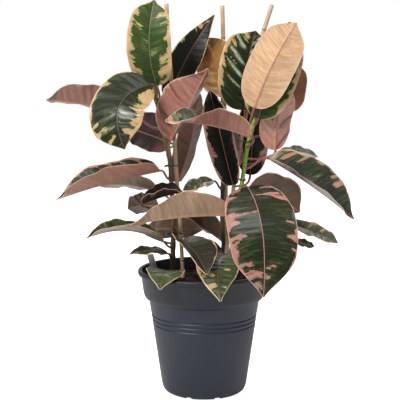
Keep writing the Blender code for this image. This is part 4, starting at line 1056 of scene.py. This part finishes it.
def half_width(leaf, share):
    """Half the blade's width a share of the way along: a blunt oval drawn out into a drip tip."""
    power = OVAL_POWER + BLUNTNESS * max(0.0, 0.2 - leaf.point)
    oval = max(1 - abs(2 * share**WIDEST - 1) ** power, 0.0) ** 0.5
    rest = 1 - min(1.0, (1 - share) / (TIP_REACH * leaf.point))
    taper = (1 - rest**TIP_CURVE) ** TIP_POWER
    return max(STALK_RADIUS + (leaf.width / 2 - STALK_RADIUS) * oval * taper, TIP_HALF_WIDTH)


def soft_step(value):
    """Nought to one with level ends."""
    value = min(max(value, 0.0), 1.0)
    return value * value * (3 - 2 * value)


def painted(look, across, slanted, mark):
    """How pale, how grey and how pink the blade is at a place; grey past one stands for a painted highlight."""
    away = abs(across)
    side = 1 if across > 0 else -1
    border = look.left if across > 0 else look.right
    ragged = 0.75 + 1.1 * noise.noise((slanted * 11, side * 5.0, mark))
    pale = 0.95 * soft_step(1.2 - (1 - away) / max(border * ragged * 1.3, 0.012))
    grey = look.grey + 0.3 * noise.noise((slanted * 4, away * 1.5 + side * 3, mark + 4))
    for kind, start, inner, outer, width, strength in look.strokes:
        if (outer > 0) != (across > 0):
            continue
        low, high = sorted((abs(inner), abs(outer)))
        reach = soft_step((away - low + 0.2) / 0.3) * soft_step((high + 0.2 - away) / 0.3)
        waver = 0.02 * noise.noise((away * 3, start * 30, mark))
        near = reach * strength * max(0.0, 1 - abs(slanted - start + waver) / (2.1 * width))
        if kind == "pale":
            pale = max(pale, near)
        elif kind == "dark":
            pale *= 1 - near
            grey *= 1 - near
        else:
            # A strong grey stroke reaches past one, which the upper skin paints as pale highlight streaks.
            grey = max(grey, near * 1.15)
    return pale, grey, look.pink


def stalk_and_blade(leaf):
    """The rings of a leaf, from the stem to its tip.

    Each is its centre, left, lift, half width, fold, share and stalk share.
    """
    chord = Vector(leaf.tip) - Vector(leaf.base)
    up = facing_vector(leaf.faces)
    up = (up - chord.normalized() * up.dot(chord.normalized())).normalized()
    side = up.cross(chord.normalized())
    base = Vector(leaf.base)
    place, rise, share = at_height(stem_routes[leaf.stem], leaf.root)
    out = base - place
    out = (out - rise * out.dot(rise)).normalized()
    start = place + out * (stem_radius(leaf.stem, share) - 1.2)
    reach = (base - start).length
    entry = (chord + 4 * (up * leaf.bow + side * leaf.sweep)).normalized()
    first = start + out * reach * 0.35
    last = base - entry * reach * 0.35
    rings = []
    for row in range(STALK_ROWS):
        part = row / STALK_ROWS
        rest = 1 - part
        centre = start * rest**3 + first * 3 * rest**2 * part + last * 3 * rest * part**2 + base * part**3
        along = (first - start) * rest**2 + (last - first) * 2 * rest * part + (base - last) * part**2
        along = along.normalized()
        lift = rise.lerp(up, part)
        lift = (lift - along * lift.dot(along)).normalized()
        rings.append((centre, lift.cross(along), lift, 0.0, 0.0, 0.0, part))
    for row in range(LEAF_ROWS + 1):
        share = 0.5 - 0.5 * math.cos(math.pi * row / LEAF_ROWS)
        arch = 4 * share * (1 - share)
        slope = 4 - 8 * share
        centre = base + chord * share + up * leaf.bow * arch + side * leaf.sweep * arch
        along = (chord + up * leaf.bow * slope + side * leaf.sweep * slope).normalized()
        turn = Matrix.Rotation(math.radians(leaf.twist) * share**2, 3, along)
        lift = turn @ (up - along * up.dot(along)).normalized()
        reach = half_width(leaf, share)
        fold = math.radians(leaf.fold) * min(1.0, reach * 4 / leaf.width)
        rings.append((centre, lift.cross(along), lift, reach, fold, share, 1.0))
    return rings, chord.length


LOWER_SLOT, STALK_SLOT = 1, 2
across_steps = [-step for step in HALF_STEPS[:0:-1]] + list(HALF_STEPS)
side_points = len(across_steps)
ring_points = 2 * side_points
for number, leaf in enumerate(LEAVES):
    look = LOOKS[leaf.name]
    trait = TRAITS.get(leaf.name, PLAIN_TRAIT)
    slant = trait.slant
    mark = number * 11.7 + 3.1
    rings, length = stalk_and_blade(leaf)
    shape = bmesh.new()

    def leaf_point(column, row):
        centre, left, lift, reach, fold, share, part = rings[row]
        upper = column < side_points
        across = across_steps[column] if upper else across_steps[ring_points - 1 - column]
        if row < STALK_ROWS:
            gap = math.radians(6)
            angle = math.pi / 2 - across * (math.pi / 2 - gap)
            lean = 1 if upper else -1
            swell = STALK_RADIUS * (1 + 0.22 * math.exp(-((part / 0.12) ** 2)))
            flat = 0.78 if upper else 1.0
            return centre + (left * math.cos(angle) + lift * math.sin(angle) * lean * flat) * swell
        wave = WAVE_HEIGHT * math.sin(math.tau * WAVE_COUNT * share + 1.3 * across) * across**2
        ripple = 0.7 * math.sin(math.tau * 5.3 * share + mark + 2.1 * across) * abs(across) ** 3
        wave = (wave + ripple) * 4 * share * (1 - share)
        curl = -0.9 * soft_step((abs(across) - 0.9) / 0.1) * min(1.0, reach / 12)
        reach_mm = abs(across) * reach
        run = share * length - slant * reach_mm
        sway = 1.6 * noise.noise((run / 26, 3 if across > 0 else -3, mark))
        quilt = trait.quilt * math.sin(math.tau * run / QUILT_SPACING + sway * 2)
        quilt *= soft_step(reach_mm / 8) * (1 - 0.8 * soft_step((abs(across) - 0.75) / 0.25))
        quilt *= soft_step(share / 0.14) * soft_step((1 - share) / 0.16)
        rise = abs(across) * reach * math.sin(fold) + wave + curl + quilt
        width = reach * math.cos(fold)
        point = centre + left * across * width + lift * rise
        rib = 1.75 * (1 - share) ** 0.7 + 0.35
        body = BLADE_THICKNESS / 2 * (1 - 0.45 * soft_step((abs(across) - 0.93) / 0.07))
        if upper:
            furrow = 0.45 * math.exp(-((reach_mm / 1.3) ** 2)) * (1 - share)
            return point + lift * (body - furrow)
        ridge = rib * math.sqrt(max(0.0, 1 - (reach_mm / (rib * 1.25)) ** 2))
        return point - lift * (body + ridge)

    placed = wrapped(shape, ring_points, len(rings) - 1, leaf_point)
    layers = shape.verts.layers
    blade_layer = layers.float_vector.new("blade")
    paint_layer = layers.float_vector.new("paint")
    upper_layer = layers.float_vector.new("upper_tint")
    under_layer = layers.float_vector.new("under_tint")
    stalk_layer = layers.float_vector.new("stalk_tint")
    mark_layer = layers.float.new("mark")
    gloss_layer = layers.float.new("gloss")
    for vertex in shape.verts:
        column, row = placed[vertex.index]
        centre, left, lift, reach, fold, share, part = rings[row]
        across = across_steps[column] if column < side_points else across_steps[ring_points - 1 - column]
        away = abs(across) * reach / 10
        slanted = share - (slant * away + VEIN_CURVE * away**2) * 10 / length
        vertex[blade_layer] = (across * reach / 10, slanted * length / 10, (1 - abs(across)) * reach / 10)
        vertex[paint_layer] = painted(look, across, slanted, mark)
        vertex[upper_layer] = look.upper
        vertex[under_layer] = look.under
        vertex[stalk_layer] = look.stalk
        vertex[mark_layer] = mark
        vertex[gloss_layer] = trait.gloss
    for face in shape.faces:
        columns, rows = zip(*[placed[vertex.index] for vertex in face.verts])
        if max(rows) <= STALK_ROWS:
            face.material_index = STALK_SLOT
        elif max(columns) >= side_points:
            face.material_index = LOWER_SLOT
    skins = [upper_skin, lower_skin, stalk_skin]
    finished(f"leaf_{leaf.name}_blade", shape, skins, "leaf_skin", f"leaf_{leaf.name}")


# Studio. A pale floor and a white world, a large soft light high on the left, weaker ones above, on the
# right and behind, and the camera where the photograph was taken.
FLOOR_GLOW = 0.92
WORLD_LIGHT = 0.16
CAMERA_LENS = 111.33
CAMERA_PLACE = (-0.0076, -2.2, 0.68)
CAMERA_TILT = 81.5
PLANT_MIDDLE = (0.0, 0.0, 0.4)
floor_shape = bmesh.new()
bmesh.ops.create_grid(floor_shape, x_segments=1, y_segments=1, size=14.0)
floor_mesh = bpy.data.meshes.new("studio_floor")
floor_shape.to_mesh(floor_mesh)
floor_shape.free()
studio_floor = bpy.data.objects.new("studio_floor", floor_mesh)
bpy.context.scene.collection.objects.link(studio_floor)
studio_floor.location.z = -0.0005
pale_floor, tree, shader, place = skin("pale_floor", 0.9, specular=0.1)
shader.inputs["Base Color"].default_value = (0.86, 0.86, 0.86, 1.0)
shader.inputs["Emission Color"].default_value = (1.0, 1.0, 1.0, 1.0)
seen = add(tree, "ShaderNodeLightPath").outputs["Is Camera Ray"]
tree.links.new(sum_of(tree, "MULTIPLY", seen, FLOOR_GLOW), shader.inputs["Emission Strength"])
floor_mesh.materials.append(pale_floor)


def soft_light(name, place, aim, size, power, colour=(1.0, 1.0, 1.0)):
    """A square soft box that looks at a point."""
    data = bpy.data.lights.new(name, "AREA")
    data.shape = "SQUARE"
    data.size = size
    data.energy = power
    data.color = colour
    lamp = bpy.data.objects.new(name, data)
    lamp.location = place
    lamp.rotation_euler = (Vector(aim) - Vector(place)).to_track_quat("-Z", "Y").to_euler()
    bpy.context.scene.collection.objects.link(lamp)


soft_light("key_softbox", (-1.3, -1.5, 2.1), PLANT_MIDDLE, 1.0, 66)
soft_light("top_softbox", (0.6, -0.3, 2.0), PLANT_MIDDLE, 0.8, 10)
soft_light("fill_softbox", (1.9, -1.5, 0.9), PLANT_MIDDLE, 1.2, 3.5)
soft_light("back_softbox", (0.2, 1.5, 1.9), PLANT_MIDDLE, 1.8, 32)

studio = bpy.data.worlds.new("white_studio")
studio.use_nodes = True
sky = studio.node_tree.nodes["Background"]
sky.inputs["Color"].default_value = (1.0, 1.0, 1.0, 1.0)
seen = add(studio.node_tree, "ShaderNodeLightPath").outputs["Is Camera Ray"]
strength = sum_of(studio.node_tree, "MULTIPLY_ADD", seen, 1.0 - WORLD_LIGHT, WORLD_LIGHT)
studio.node_tree.links.new(strength, sky.inputs["Strength"])
bpy.context.scene.world = studio

camera_data = bpy.data.cameras.new("photo_camera")
camera_data.lens = CAMERA_LENS
camera_data.sensor_width = 36.0
camera = bpy.data.objects.new("photo_camera", camera_data)
camera.location = CAMERA_PLACE
camera.rotation_euler = (math.radians(CAMERA_TILT), 0.0, 0.0)
bpy.context.scene.collection.objects.link(camera)
bpy.context.scene.camera = camera
bpy.context.scene.view_settings.view_transform = "Standard"
